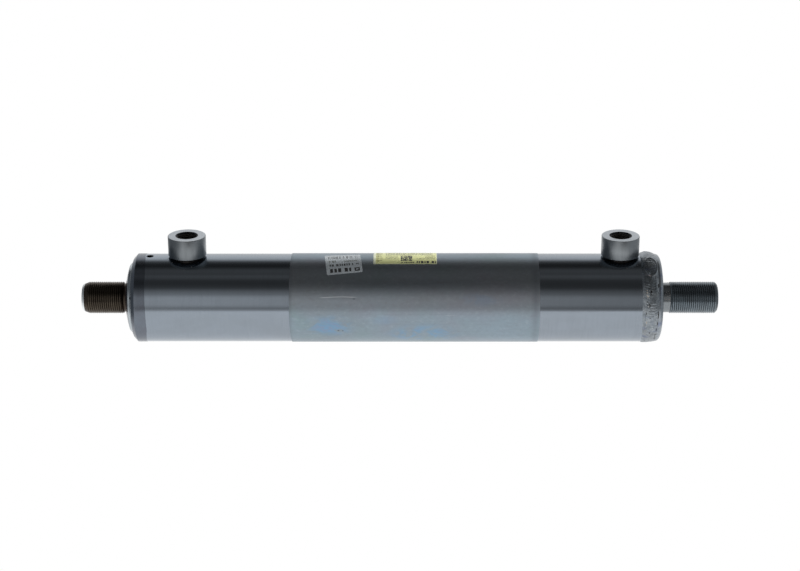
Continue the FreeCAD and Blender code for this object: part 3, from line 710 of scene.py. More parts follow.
cut = [stepped_cutter(WIRE_X, [(33, 3.0), (41.55, 3.0), (43.0, 4.45)])]
for px in PORTS:
    cut.append(stepped_cutter(px, [(30, 7.0), (50, 7.0)]))
carve(tube, cut, 16)


def tube_skin(c, n):
    r = rad(c)
    if r < 35.4:
        return "bore"
    radial = abs(n.x) < 0.5 and (n.y * c.y + n.z * c.z) / max(r, 1e-6) < 0.5
    # hole walls and the wire hole's countersink get the near-black steel: painted shade
    if radial or (abs(c.x - WIRE_X) < 3.7 and abs(c.y) < 3.7 and c.z > 41.3 and (c.x - WIRE_X) ** 2 + c.y ** 2 < 3.3 ** 2):
        return "hole"
    if c.x < -497.75 and c.x > -501.29:
        return "chamfer"
    if c.x < -486 and r > 42.2:
        return "band"
    if r > 42.38:
        return "drawn"
    return "turned" if c.x < -300 else "turned_cap"


paint(tube, tube_skin)
put(tube, "barrel", "tube_steel", "barrel_tube")

# ---- gland
gland_chain = arcs([
    (-507.1, 23.0), (-507.1, 25.5, 0.3), (-505.2, 32.0, 0.5), (-504.5, 32.8, 0.3), (-502.9, 33.1, 0.12), (-501.9, 37.0, 0.12), (-501.7, 37.3, 0.06),
    (-501.3, 37.3, 0.06), (-501.3, 34.6), (-500.1, 34.6), (-499.7, 34.93), (-488.6, 34.93)], 4)
gland_chain += half_groove(WIRE_X, 34.95, 3.0, True) + arcs([
    (-482.4, 34.93), (-474.0, 34.93), (-474.0, 32.3), (-467.4, 32.3), (-467.4, 34.93), (-460.2, 34.93), (-459.0, 33.73),
    (-459.0, 28.0, 1.5), (-442.5, 28.0), (-441.0, 26.5), (-441.0, 21.2), (-441.8, 20.4), (-446.4, 20.4), (-446.4, 22.9),
    (-456.0, 22.9), (-456.0, 20.4), (-467.4, 20.4), (-467.4, 22.9), (-477.0, 22.9), (-477.0, 20.4), (-484.6, 20.4),
    (-484.6, 25.0), (-492.6, 25.0), (-492.6, 20.4), (-497.2, 20.4), (-497.2, 24.6), (-503.2, 24.6), (-503.2, 21.7),
    (-506.7, 21.7), (-507.1, 22.1), (-507.1, 23.0)], 4)
s = Soup()
s.lathe(gland_chain, 256)
gland = s.mesh("gland_finished", sharp=20)


def notch_box(phi, w=2.1, deep=2.2, r=37.3):
    bm = bmesh.new()
    bmesh.ops.create_cube(bm, size=1.0)
    for v in bm.verts:
        v.co.x = -503.9 + (v.co.x + 0.5) * 3.0
        v.co.y = v.co.y * w
        v.co.z = r - deep + (v.co.z + 0.5) * (deep + 2)
    edges = [e for e in bm.edges if abs(e.verts[0].co.x - e.verts[1].co.x) > 1 and min(e.verts[0].co.z, e.verts[1].co.z) < r - deep + 0.1]
    bmesh.ops.bevel(bm, geom=edges, offset=0.35, segments=3, affect="EDGES", profile=0.5)
    a = math.radians(phi)
    for v in bm.verts:
        y, z = v.co.y, v.co.z
        v.co.y = y * math.cos(a) - z * math.sin(a)
        v.co.z = y * math.sin(a) + z * math.cos(a)
        v.co *= MM
    me = bpy.data.meshes.new("notch")
    bm.to_mesh(me)
    bm.free()
    ob = bpy.data.objects.new("notch", me)
    scene.collection.objects.link(ob)
    return ob


carve(gland, [notch_box(70 + 60 * k) for k in range(6)], 20)


def gland_skin(c, n):
    r = rad(c)
    if 34.9 < r < 37.2 and -504 < c.x < -500.95:
        off = (math.degrees(math.atan2(-c.y, c.z)) - 10 + 30) % 60 - 30
        # notch walls get the near-black hole steel: painted shade in the notches
        if abs(off) < 1.75:
            return "hole"
    # the flange rim gets the brighter copy: painted highlight
    return "gland_rim" if r > 32.7 and -504.6 < c.x < -501.2 else "gland"


paint(gland, gland_skin)
put(gland, "barrel", "gland_steel", "gland")


# ---- rod with its threaded end
SEG = 192
s = Soup()
s.lathe([(-551.3, 0.0), (-551.3, 4.0), (-551.3, 11.9), (-551.22, 12.2), (-551.0, 12.46), (-550.8, 12.69)], SEG)
s.thread(-550.8, -511.2, lambda a: np.where(a < -544.9, 12.5 + 2.60 * (a + 551.3) / 6.4, np.where(a < -512.5, 15.10, 15.10 - 1.60 * (a + 512.5) / 1.3)),
         15.10, 0.66, 2.0, SEG, fade0=5.5, flat=0.15)
shoulder = arcs([(-511.2, 13.5), (-508.6, 13.5, 0.6), (-508.6, 19.0, 0.12), (-507.6, 20.0, 0.3), (-500, 20.0)], 5)
s.lathe(shoulder, SEG)
s.lathe(refine([(-500, 20.0), (-91.0, 20.0)], 12), SEG)
s.lathe(arcs([(-91.0, 20.0), (-90.0, 19.0), (-90.0, 14.0), (-73.0, 14.0), (-73.0, 11.9), (-69.4, 11.9), (-69.4, 14.0), (-52.4, 14.0),
              (-52.1, 12.3), (-49.6, 12.3), (-48.4, 13.45)], 4), SEG)
s.thread(-48.4, -32.2, lambda a: 13.45 + 0 * a, 13.45, 1.22, 2.0, SEG, phi0=0.3)
s.lathe([(-32.2, 13.45), (-31.0, 12.25), (-31.0, 5.0), (-31.0, 0.0)], SEG)
rod = s.mesh("piston_rod_finished", sharp=30)


def rod_skin(c, n):
    # the lead-in band gets the near-white painted highlight
    if -551.28 < c.x < -549.1:
        return "rod_tip"
    if c.x < -508.75:
        return "rod_stud"
    if c.x < -508.5 or (c.x < -507.55 and rad(c) < 19.98):
        return "rod_end"
    if c.x < -91.2:
        return "chrome"
    return "rod_inner"


paint(rod, rod_skin)
put(rod, "rod_assembly", "rod_chrome", "piston_rod")

# ---- cap and stud
s = Soup()
s.lathe(refine(arcs([(-29.0, 0.0), (-29.0, 31.96, 0.2), (-26.0, 34.96, 0.4), (-9.3, 34.96), (-4.6, 41.9, 0.3), (-2.6, 41.6, 1.5), (-1.5, 40.9, 1.2),
              (-0.4, 39.5, 0.8), (0.0, 38.4, 0.3), (0.0, 25.0), (0.0, 14.3, 1.2), (10.0, 14.3, 0.1), (10.3, 14.6)], 6), 3.0), SEG)
s.thread(10.3, 54.0, lambda a: np.where(a < 10.75, 14.6 + (a - 10.3), np.where(a < 53.4, 15.05, 15.05 - (a - 53.4) * 0.958)),
         15.05, 0.56, 2.0, SEG, fade0=1.4, flat=0.16)
s.lathe(arcs([(54.0, 14.475), (55.5, 12.95, 0.5), (55.8, 12.0, 0.25), (55.8, 6.0), (55.8, 0.0)], 4), SEG)
cap = s.mesh("end_cap_finished", sharp=30)


def cap_skin(c, n):
    if c.x > 10.15:
        return "cap_stud"
    if c.x > 0.4 and rad(c) < 16:
        return "neck"
    return "rim" if rad(c) > 38.2 else "cap"


paint(cap, cap_skin)
put(cap, "barrel", "cap_steel", "end_cap")

# ---- the cap's weld
RIPPLE = 2.6


def bead_shape(a, r, phi):
    deg = np.degrees(phi) % 360
    outer = r > 37.5
    u = np.clip((a + 18.0) / 13.4, 0, 1)
    w = np.where((u > 0) & (u < 1), np.sin(np.pi * u) ** 0.55, 0.0)
    lump = np.zeros_like(r)
    lag = np.zeros_like(r)
    for i in range(r.shape[0]):
        if not outer[i, 0]:
            continue
        for j in range(r.shape[1]):
            P = Vector((a[i, j] * 0.35, 15 * math.cos(phi[i, j]), 15 * math.sin(phi[i, j])))
            lump[i, j] = 0.26 * noise.noise(P * 0.30) + 0.16 * noise.noise(P * 0.9) + 0.09 * noise.noise(P * 2.6) + 0.05 * noise.noise(P * 6.0)
            lag[i, j] = noise.noise(P * 0.28)
    arc = phi * 43.0
    rip = np.sin((arc + 2.4 * (2 * u - 1) ** 2 + 1.6 * lag) / RIPPLE * TAU)
    out = w * (0.05 * (1 + lag) * rip + lump)
    # the torch went round a little off centre, so the bead stands higher on one side
    out = out + 0.7 * np.cos(phi + math.radians(20)) * np.sin(np.pi * u) ** 0.8
    # a crater where the run ended: a shallow dish with a raised lip
    du, dv = (a + 10.8) / 6.0, (phi - math.radians(25)) * 43.0 / 11.5
    dv = (dv + math.pi * 43 / 11.5) % (TAU * 43 / 11.5) - math.pi * 43 / 11.5
    q = np.sqrt(du * du + dv * dv)
    out = out - 0.34 * np.clip(1 - q / 0.92, 0, 1) ** 0.7 + 0.34 * np.exp(-((q - 1.0) / 0.10) ** 2) * np.clip(u * 6, 0, 1)
    # pits in it
    for x0, d0, rr, dep in ((-12.9, 61.8, 1.3, 0.5), (-11.9, 42.5, 0.7, 0.3), (-15.3, 77.5, 1.0, 0.35), (-11.8, 120.2, 0.8, 0.3)):
        q = np.sqrt((a - x0) ** 2 + ((deg - d0) * 0.75) ** 2) / rr
        out = out - dep * np.exp(-q * q * 1.5) + 0.35 * dep * np.exp(-((q - 1.5) / 0.4) ** 2)
    # the toe and the cap's edge wander
    toe = np.clip(1 - np.abs(a + 18.0) / 1.2, 0, 1)
    a = a - toe * (2.0 * np.cos(phi - math.radians(50)) + 0.3 + wob(phi, 0.22, 3, 7, 13, 22, 37, seed=8))
    return a, r + np.where(outer, out, 0)


bead_chain = arcs([(-18.0, 42.2), (-17.0, 43.05, 0.8), (-13.6, 43.6, 3.0), (-10.0, 43.2, 6.0), (-7.0, 42.7, 5.0), (-4.62, 41.92)], 5)
bead_chain = refine(bead_chain, 0.4) + [(-9.3, 34.97), (-18.0, 42.2)]
s = Soup()
s.lathe(bead_chain, 900, bump=bead_shape)
bead = s.mesh("cap_weld_bead_rippled", sharp=50)
paint(bead, lambda c, n: "bead")
put(bead, "barrel", "weld_metal", "cap_weld_bead")


# ---- port bosses with cut threads
def boss_piece(name, cx, node, phi0):
    place = along_z(cx)
    S = 144
    s = Soup()
    chain = arcs([(43.7, 7.0), (43.7, 17.2), (43.85, 17.75), (44.3, 18.0), (62.3, 18.0), (62.72, 17.86), (63.0, 17.4), (63.0, 14.0), (63.0, 10.75),
                  (62.9, 10.6), (61.8, 9.45)], 4)
    s.lathe(chain, S, place, phi0=phi0)
    s.thread(47.4, 61.8, lambda a: np.where(a > 61.1, 9.32 + (a - 61.1) * 0.186, 9.32), 9.32, 1.14, 1.814, S, place, phi0=phi0, inside=True, fade0=1.0)
    s.lathe([(47.4, 9.32), (47.2, 9.32), (45.8, 7.0), (43.7, 7.0)], S, place, phi0=phi0)
    ob = s.mesh(name, sharp=30)

    def skin(c, n):
        r = math.hypot(c.x - cx, c.y)
        if r < 10.66 and c.z < 61.9:
            return "boss_thread"
        # the countersink gets the near-black steel: painted shade
        if r < 10.72:
            return "countersink"
        # faces turned up get the brighter copy: painted light on the boss tops
        return "boss_top" if n.z > 0.9 else "boss"

    paint(ob, skin)
    return put(ob, "barrel", "boss_steel", node)


boss_piece("rod_side_port_boss_threaded", PORTS[0], "rod_side_port_boss", 0.4)
boss_piece("cap_side_port_boss_threaded", PORTS[1], "cap_side_port_boss", 1.7)


# ---- weld under each boss
def saddle_piece(name, cx, tube_r, node, seed):
    S = 300
    phi = np.arange(S) * TAU / S
    g = rnd("saddle", seed)
    off = Vector((g.random() * 50, g.random() * 50, g.random() * 50))
    rows = []

    def on_tube(rr):
        y = rr * np.sin(phi)
        return np.sqrt(np.maximum(tube_r ** 2 - y ** 2, 0))

    # t goes from the boss's underside down to the toe on the tube
    N = 12
    foot = 0.95 + wob(phi, 0.16, 2, 5, 9, 17, seed=seed)
    for k in range(N + 1):
        t = k / N
        rr = 12.4 + foot * t ** 1.8
        zt = 43.75 - 0.0 * phi
        zb = on_tube(rr) - 0.05
        z = zt + (zb - zt) * t
        n = np.array([noise.noise(Vector((13 * math.cos(p), 13 * math.sin(p), 3 * t)) * 0.45 + off) * 0.30
                      + noise.noise(Vector((13 * math.cos(p), 13 * math.sin(p), 3 * t)) * 1.5 + off) * 0.15 for p in phi])
        rip = 0.10 * np.sin(phi * 17.5 / 2.1 * TAU / TAU * 6.0 + 3.0 * t)
        w = math.sin(math.pi * min(1, max(0, t))) ** 0.7
        gap = np.clip((zt - zb) / 2.5, 0.15, 1)
        rr = rr + w * (n + rip) * gap
        rows.append(np.stack([cx + rr * np.cos(phi), rr * np.sin(phi), z], -1))
    inner_bottom = on_tube(7.0 + 0 * phi) - 0.05
    rows.append(np.stack([cx + 7.0 * np.cos(phi), 7.0 * np.sin(phi), inner_bottom], -1))
    rows.append(np.stack([cx + 7.0 * np.cos(phi), 7.0 * np.sin(phi), 43.75 + 0 * phi], -1))
    rows.append(rows[0])
    s = Soup()
    s.grid(np.array(rows))
    ob = s.mesh(name, sharp=45)
    # near-black weld: oxide plus painted shade under the boss
    paint(ob, lambda c, n: "port_weld")
    return put(ob, "barrel", "weld_metal", node)


saddle_piece("rod_side_port_weld_rough", PORTS[0], TURNED_L, "rod_side_port_weld", 3)
saddle_piece("cap_side_port_weld_rough", PORTS[1], TURNED_R, "cap_side_port_weld", 4)


# ---- spatter: small frozen drops
def drops(name, spots, key):
    """spots are (x, y, z, nx, ny, nz, radius, squash) in mm."""
    bm = bmesh.new()
    g = rnd(name)
    for x, y, z, nx, ny, nz, r, sq in spots:
        nrm = Vector((nx, ny, nz)).normalized()
        before = len(bm.verts)
        bmesh.ops.create_icosphere(bm, subdivisions=2, radius=r)
        bm.verts.ensure_lookup_table()
        off = Vector((g.random() * 9, g.random() * 9, g.random() * 9))
        for v in bm.verts[before:]:
            d = v.co.normalized()
            v.co *= 1 + 0.22 * noise.noise(d * 1.4 + off)
            h = v.co.dot(nrm)
            v.co += nrm * h * (sq - 1)
            v.co += Vector((x, y, z)) + nrm * (r * sq * 0.35)
            v.co *= MM
    me = bpy.data.meshes.new(name)
    bm.to_mesh(me)
    bm.free()
    ob = finish_mesh(me, name, M[key], 60)
    return ob


def on_tube(x, phi_deg, r=42.2):
    a = math.radians(phi_deg)
    return (x, -r * math.sin(a), r * math.cos(a), 0, -math.sin(a), math.cos(a))


def bead_r(x, deg):
    """The bead's own radius there, without its texture."""
    base = np.interp(x, [-18.0, -17.0, -13.6, -10.0, -7.0, -4.6], [42.2, 43.0, 43.6, 43.2, 42.7, 41.9])
    u = min(1.0, max(0.0, (x + 18.0) / 13.4))
    return float(base) + 0.7 * math.cos(math.radians(deg + 20)) * math.sin(math.pi * u) ** 0.8


g = rnd("spatter")
spots = []
for k in range(16):
    px = PORTS[k % 2]
    t = g.random() * TAU
    d = 18.4 + 5 * g.random() ** 2.2
    x, y = px + d * math.cos(t), d * math.sin(t)
    tr = TURNED_L if k % 2 == 0 else TURNED_R
    z = math.sqrt(tr ** 2 - y * y)
    spots.append((x, y, z, 0, y / tr, z / tr, 0.14 + 0.22 * g.random() ** 2, 0.6))
spots.append((*on_tube(-433.0, 1.0, TURNED_L), 0.42, 0.6))
put(drops("port_weld_spatter", spots, "spatter"), "barrel", "weld_metal")

spots = []
for k in range(40):
    x = -19.4 - 6 * g.random() ** 2
    spots.append((*on_tube(x, g.random() * 360, TURNED_R), 0.10 + 0.2 * g.random() ** 2, 0.55))
for k in range(46):
    x = 2.0 + 7.6 * g.random()
    t = g.random() * TAU if k % 2 else math.radians(152 + 44 * (g.random() - 0.5))
    spots.append((x, 14.3 * math.cos(t), 14.3 * math.sin(t), 0, math.cos(t), math.sin(t), 0.14 + 0.26 * g.random() ** 2, 0.6))
for k in range(120):
    x = -17.2 + 12.5 * g.random()
    d = g.random() * 360
    spots.append((*on_tube(x, d, bead_r(x, d)), 0.10 + 0.18 * g.random() ** 2, 0.5))
put(drops("cap_weld_spatter", spots, "spatter"), "barrel", "weld_metal")


def smears(name, runs, key, rise=0.10, wide=1.0):
    """Thin lumpy crusts along paths of (x, degrees, half-width) on the bead; rise is how far they stand off it."""
    bm = bmesh.new()
    for n_run, path in enumerate(runs):
        g = rnd(name, n_run)
        off = Vector((g.random() * 40, g.random() * 40, g.random() * 40))
        pts = [(p[0], math.radians(p[1]) * 43.0, p[2] * wide) for p in path]
        line = []
        for (xa, va, wa), (xb, vb, wb) in zip(pts, pts[1:]):
            n = max(2, int(math.hypot(xb - xa, vb - va) / 0.28))
            for k in range(n):
                t = k / n
                line.append((xa + (xb - xa) * t, va + (vb - va) * t, wa + (wb - wa) * t))
        line.append(pts[-1])
        rows = []
        m = len(line)
        for k, (x, v, w) in enumerate(line):
            x0, v0, _ = line[max(0, k - 1)]
            x1, v1, _ = line[min(m - 1, k + 1)]
            L = max(1e-6, math.hypot(x1 - x0, v1 - v0))
            nx, nv = -(v1 - v0) / L, (x1 - x0) / L
            e = min(1.0, (k + 0.35) / 2.0, (m - 1 - k + 0.35) / 2.0)
            row = []
            for s_, hh in ((-1, -0.06), (-0.72, 0.55), (0, 1.0), (0.72, 0.55), (1, -0.06), (0, -0.30)):
                jag = 1 + 0.55 * noise.noise(Vector((x, v, s_ * 2.0)) * 1.3 + off)
                xx = x + nx * s_ * w * e * jag
                vv = v + nv * s_ * w * e * jag
                d = math.degrees(vv / 43.0)
                r_ = bead_r(xx, d) + rise * (hh * e * jag if hh > 0 else hh * 3)
                a_ = math.radians(d)
                row.append(bm.verts.new((xx * MM, -r_ * math.sin(a_) * MM, r_ * math.cos(a_) * MM)))
            rows.append(row)
        for ra, rb in zip(rows, rows[1:]):
            for q in range(6):
                bm.faces.new((ra[q], ra[(q + 1) % 6], rb[(q + 1) % 6], rb[q]))
        bm.faces.new(rows[0][::-1])
        bm.faces.new(rows[-1])
    me = bpy.data.meshes.new(name)
    bm.to_mesh(me)
    bm.free()
    return put(finish_mesh(me, name, M[key], 50), "barrel", "weld_metal")


smears("cap_weld_slag_dark", [
    [(-14.3, 57.3, 0.35), (-13.2, 59.3, 0.45), (-12.0, 60.6, 0.6), (-11.5, 62.6, 0.7), (-12.3, 64.6, 0.6), (-13.3, 65.4, 0.3)],
    [(-15.6, 71.4, 0.25), (-15.9, 73.6, 0.4), (-14.9, 75.9, 0.35), (-13.8, 77.8, 0.4), (-13.4, 79.6, 0.45), (-13.8, 81.8, 0.3)],
    [(-16.4, 88.0, 0.3), (-16.9, 91.3, 0.35), (-17.2, 95.4, 0.4), (-17.4, 98.3, 0.2)],
    [(-17.2, 102.0, 0.2), (-17.1, 105.5, 0.3), (-16.9, 109.0, 0.2)],
    [(-11.4, 117.7, 0.5), (-11.8, 120.2, 0.75), (-12.3, 122.8, 0.4)],
    [(-12.7, 95.4, 0.3), (-12.6, 97.0, 0.35)],
    [(-8.9, 109.4, 0.25), (-9.3, 111.0, 0.3)], [(-9.5, 114.0, 0.3), (-9.6, 115.6, 0.2)],
    [(-5.0, 50.7, 0.35), (-5.1, 53.6, 0.45), (-5.2, 56.7, 0.3)], [(-5.3, 62.0, 0.2), (-5.3, 64.0, 0.25)],
    [(-5.0, 87.0, 0.3), (-5.0, 91.8, 0.42), (-5.0, 97.5, 0.3)], [(-5.2, 102.0, 0.3), (-5.3, 106.8, 0.3)],
    [(-5.6, 112.0, 0.35), (-6.0, 118.0, 0.3)], [(-6.2, 124.0, 0.4), (-6.2, 131.0, 0.4), (-5.8, 139.0, 0.3)],
    [(-12.2, 41.4, 0.5), (-11.7, 43.4, 0.5)], [(-16.5, 14.0, 0.4), (-16.0, 19.0, 0.3)],
    [(-16.0, 200.0, 0.4), (-15.0, 206.0, 0.5), (-15.6, 212.0, 0.3)], [(-9.0, 238.0, 0.4), (-8.0, 243.0, 0.5)],
    [(-16.8, 285.0, 0.3), (-16.6, 292.0, 0.4), (-15.8, 299.0, 0.3)], [(-6.0, 268.0, 0.3), (-5.6, 276.0, 0.4)],
    [(-12.0, 318.0, 0.6), (-11.0, 322.0, 0.5)], [(-14.0, 168.0, 0.4), (-13.2, 174.0, 0.4)]], "slag", wide=1.3)
smears("cap_weld_slag_pale", [
    [(-16.2, 59.8, 0.8), (-15.8, 63.0, 1.15), (-15.6, 67.0, 1.0), (-15.4, 70.3, 0.6)],
    [(-14.7, 79.0, 0.45), (-14.6, 81.0, 0.5)], [(-17.6, 74.0, 0.4), (-17.3, 79.0, 0.6), (-17.2, 84.0, 0.4)],
    [(-16.0, 100.0, 0.35), (-15.8, 104.0, 0.45)], [(-16.4, 113.0, 0.4), (-16.0, 120.0, 0.5), (-15.8, 125.0, 0.3)],
    [(-17.4, 44.0, 0.35), (-17.2, 50.0, 0.5), (-17.0, 54.0, 0.3)],
    [(-14.4, 228.0, 0.5), (-13.8, 233.0, 0.6)], [(-16.6, 305.0, 0.4), (-16.0, 311.0, 0.5)]], "cream", 0.07, wide=1.3)
smears("cap_weld_crater_lip", [
    [(-17.3, 37.6, 0.16), (-14.8, 40.0, 0.24), (-12.2, 41.2, 0.28), (-9.4, 41.0, 0.26), (-6.9, 39.0, 0.16)]], "spatter", 0.16)


# ---- labels
def wrapped(cx, c_arc, turn, R):
    """Maps label u (along X) and v (around, downwards on the near side), in mm, to a point at radius R+h."""
    ct, st = math.cos(turn), math.sin(turn)

    def at(u, v, h=0.0):
        x = cx + u * ct - v * st
        arc = c_arc + u * st + v * ct
        p = arc / 42.5
        return (x * MM, -(R + h) * math.sin(p) * MM, (R + h) * math.cos(p) * MM)
    return at


def slab(bm, at, u0, u1, v0, v1, h0, h1, mat, corner=0.0, edge=1.5, shape=None):
    """A thin closed sheet following the tube, corners rounded."""
    if shape is None:
        c = min(corner, (u1 - u0) / 2.01, (v1 - v0) / 2.01)
        if c > 0:
            shape = []
            for qx, qy, a0 in ((u1 - c, v1 - c, 0), (u0 + c, v1 - c, 90), (u0 + c, v0 + c, 180), (u1 - c, v0 + c, 270)):
                for k in range(5):
                    a = math.radians(a0 + 22.5 * k)
                    shape.append((qx + c * math.cos(a), qy + c * math.sin(a)))
        else:
            shape = [(u1, v1), (u0, v1), (u0, v0), (u1, v0)]
    # rows of constant v so that the sheet bends with the tube
    lo, hi = min(p[1] for p in shape), max(p[1] for p in shape)
    n = max(1, int(math.ceil((hi - lo) / edge)))
    levels = sorted(set([round(p[1], 5) for p in shape] + [round(lo + (hi - lo) * k / n, 5) for k in range(n + 1)]))

    def span(v):
        us = []
        m = len(shape)
        for i in range(m):
            (ua, va), (ub, vb) = shape[i], shape[(i + 1) % m]
            if min(va, vb) - 1e-6 <= v <= max(va, vb) + 1e-6:
                if abs(vb - va) < 1e-6:
                    us += [ua, ub]
                else:
                    us.append(ua + (ub - ua) * (v - va) / (vb - va))
        return min(us), max(us)

    top, bot = [], []
    for v in levels:
        a, b = span(v)
        top.append((bm.verts.new(at(a, v, h1)), bm.verts.new(at(b, v, h1))))
        bot.append((bm.verts.new(at(a, v, h0)), bm.verts.new(at(b, v, h0))))
    faces = []
    for i in range(len(levels) - 1):
        faces.append(bm.faces.new((top[i][0], top[i][1], top[i + 1][1], top[i + 1][0])))
        faces.append(bm.faces.new((bot[i][1], bot[i][0], bot[i + 1][0], bot[i + 1][1])))
        faces.append(bm.faces.new((top[i][0], top[i + 1][0], bot[i + 1][0], bot[i][0])))
        faces.append(bm.faces.new((top[i + 1][1], top[i][1], bot[i][1], bot[i + 1][1])))
    faces.append(bm.faces.new((top[0][1], top[0][0], bot[0][0], bot[0][1])))
    faces.append(bm.faces.new((top[-1][0], top[-1][1], bot[-1][1], bot[-1][0])))
    for f in faces:
        f.material_index = mat


def word(bm, at, u0, u1, v0, v1, mat, g, h=(0.12, 0.165), bold=0.2):
    """A line of plain blocks of uneven width that stands in for print, with no letter shapes."""
    u = u0
    hgt = v1 - v0
    trim = hgt * max(0.02, 0.30 - bold) * 0.9
    while u < u1 - 0.25 * hgt:
        w = min(hgt * (0.26 + 0.44 * g.random()), u1 - u)
        slab(bm, at, u, u + w, v0 + trim, v1 - trim, *h, mat)
        u += w + hgt * (0.26 + (0.42 if g.random() < 0.18 else 0.0))


def label_object(name, bm, keys, slot, node):
    me = bpy.data.meshes.new(name)
    bmesh.ops.recalc_face_normals(bm, faces=bm.faces)
    bm.to_mesh(me)
    bm.free()
    for k in keys:
        me.materials.append(M[k])
    ob = bpy.data.objects.new(name, me)
    scene.collection.objects.link(ob)
    for p in me.polygons:
        p.use_smooth = True
    me.set_sharp_from_angle(angle=math.radians(30))
    return put(ob, "barrel", slot, node)


def arc_of(deg):
    return math.radians(deg) * 42.5


# white label: its near lower edge is lower on the left
bm = bmesh.new()
g = rnd("white label")
W_at = wrapped(-301.1, arc_of(17.6), math.radians(-6.0), 42.5)
slab(bm, W_at, -16.9, 16.9, -14.6, 14.4, 0.0, 0.12, 0, corner=1.2)
word(bm, W_at, -13.4, 6.4, 7.7, 12.5, 1, g, bold=0.27)
slab(bm, W_at, 9.6, 14.6, 8.2, 12.4, 0.12, 0.165, 1, corner=0.3)
slab(bm, W_at, 10.9, 13.3, 9.6, 11.0, 0.165, 0.19, 0, corner=0.2)
word(bm, W_at, -13.4, 8.8, 1.9, 5.2, 1, g, bold=0.2)
word(bm, W_at, 11.6, 14.0, 1.9, 4.4, 1, g, bold=0.2)
word(bm, W_at, 0.6, 13.8, -2.6, -0.6, 2, g, bold=0.24)
word(bm, W_at, -13.6, -6.0, -3.4, -0.8, 2, g, bold=0.24)
for k in range(34):
    u = -14.0 + 0.83 * k
    if g.random() < 0.72:
        slab(bm, W_at, u, u + 0.26 + 0.34 * g.random(), -11.5, -6.5, 0.12, 0.165, 1)
label_object("info_label_printed", bm, ("white", "ink", "ink_grey"), "label_white", "info_label")

# yellow label
bm = bmesh.new()
g = rnd("yellow label")
Y_at = wrapped(-242.75, arc_of(-7.5), math.radians(0.0), 42.5)
H = 21.1
slab(bm, Y_at, -30.1, 30.1, -H, H, 0.0, 0.12, 0, corner=1.0)
slab(bm, Y_at, -28.0, 29.5, -H + 0.6, H - 0.35, 0.12, 0.135, 1, corner=0.5)
for k in range(9):
    v = -H + 3.0 + 4.1 * k
    slab(bm, Y_at, -27.4, -21.0 - 1.2 * g.random(), v, v + 1.1, 0.135, 0.15, 2)
    slab(bm, Y_at, -27.4, -24.0 - 1.2 * g.random(), v + 1.9, v + 2.7, 0.135, 0.15, 2)
cell = 0.64
for i in range(17):
    for j in range(17):
        if g.random() < 0.55 or i in (0, 16) and g.random() < 0.6 or j == 16:
            slab(bm, Y_at, -4.2 + cell * i, -4.2 + cell * (i + 1), 5.6 + cell * j, 5.6 + cell * (j + 1), 0.135, 0.16, 3)
for k, v in enumerate((-17.5, -14.2, -10.9, -7.6, -4.3, -1.0, 2.2)):
    word(bm, Y_at, -18.5, 28.0 - 9 * g.random(), v, v + 1.9, 4, g, (0.135, 0.17))
for v in (6.0, 8.9, 11.8):
    word(bm, Y_at, -18.5, -6.5, v, v + 1.4, 4, g, (0.135, 0.17))
    word(bm, Y_at, 19.0 if v < 9 else 10.5, 28.4, v, v + 1.4, 4, g, (0.135, 0.17))
word(bm, Y_at, -3.6, 9.0, 17.9, 19.9, 3, g, (0.135, 0.17), bold=0.26)
word(bm, Y_at, 10.8, 22.6, 16.4, 19.9, 3, g, (0.135, 0.17), bold=0.3)
word(bm, Y_at, 25.0, 29.0, 16.4, 19.9, 3, g, (0.135, 0.17), bold=0.3)
label_object("caution_label_printed", bm, ("white_edge", "yellow", "olive", "ink", "ink_grey"), "label_yellow", "caution_label")


# ---- CAD nodes that stay, with their own finishes
KEEP = {
    "gland_lock_wire": "spring", "gland_o_ring": "rubber", "gland_backup_ring": "bronze",
    "rod_guide_ring_front": "guide", "rod_guide_ring_rear": "guide", "rod_seal": "pu", "rod_wiper": "pu",
    "piston": "piston", "piston_seal_ring": "bronze", "piston_seal_energizer": "rubber", "piston_rod_o_ring": "rubber",
    "piston_guide_ring_front": "guide", "piston_guide_ring_rear": "guide", "piston_nut": "nut", "nut_set_screw": "screw",
}
for node, key in KEEP.items():
    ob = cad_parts[node]
    if not ob.material_slots:
        ob.data.materials.append(M[key])
    for sl in ob.material_slots:
        sl.material = M[key]


# ====================================================== floor, light and camera
fm = bpy.data.materials.new("floor_white")
fm.use_nodes = True
nt = fm.node_tree
nt.nodes.clear()
em = nt.nodes.new("ShaderNodeEmission")
em.inputs["Color"].default_value = (1.0, 1.0, 1.0, 1)
em.inputs["Strength"].default_value = 1.0
out = nt.nodes.new("ShaderNodeOutputMaterial")
nt.links.new(em.outputs[0], out.inputs[0])
FZ = -0.34
bm = bmesh.new()
x0, x1, y0, y1 = -0.90, 0.42, -1.30, 7.0
vs = [bm.verts.new(p) for p in ((x0, y0, FZ), (x1, y0, FZ), (x1, y1, FZ), (x0, y1, FZ))]
bm.faces.new(vs)
me = bpy.data.meshes.new("floor")
bm.to_mesh(me)
bm.free()
me.materials.append(fm)
floor = bpy.data.objects.new("floor", me)
scene.collection.objects.link(floor)

world = bpy.data.worlds.new("studio")
scene.world = world
world.use_nodes = True
nt = world.node_tree
nt.nodes.clear()
wo = nt.nodes.new("ShaderNodeOutputWorld")
bgn = nt.nodes.new("ShaderNodeBackground")
bgc = nt.nodes.new("ShaderNodeBackground")
bgc.inputs["Color"].default_value = (1, 1, 1, 1)
mixs = nt.nodes.new("ShaderNodeMixShader")
lp = nt.nodes.new("ShaderNodeLightPath")
tc = nt.nodes.new("ShaderNodeTexCoord")
sep = nt.nodes.new("ShaderNodeSeparateXYZ")
nt.links.new(tc.outputs["Generated"], sep.inputs[0])


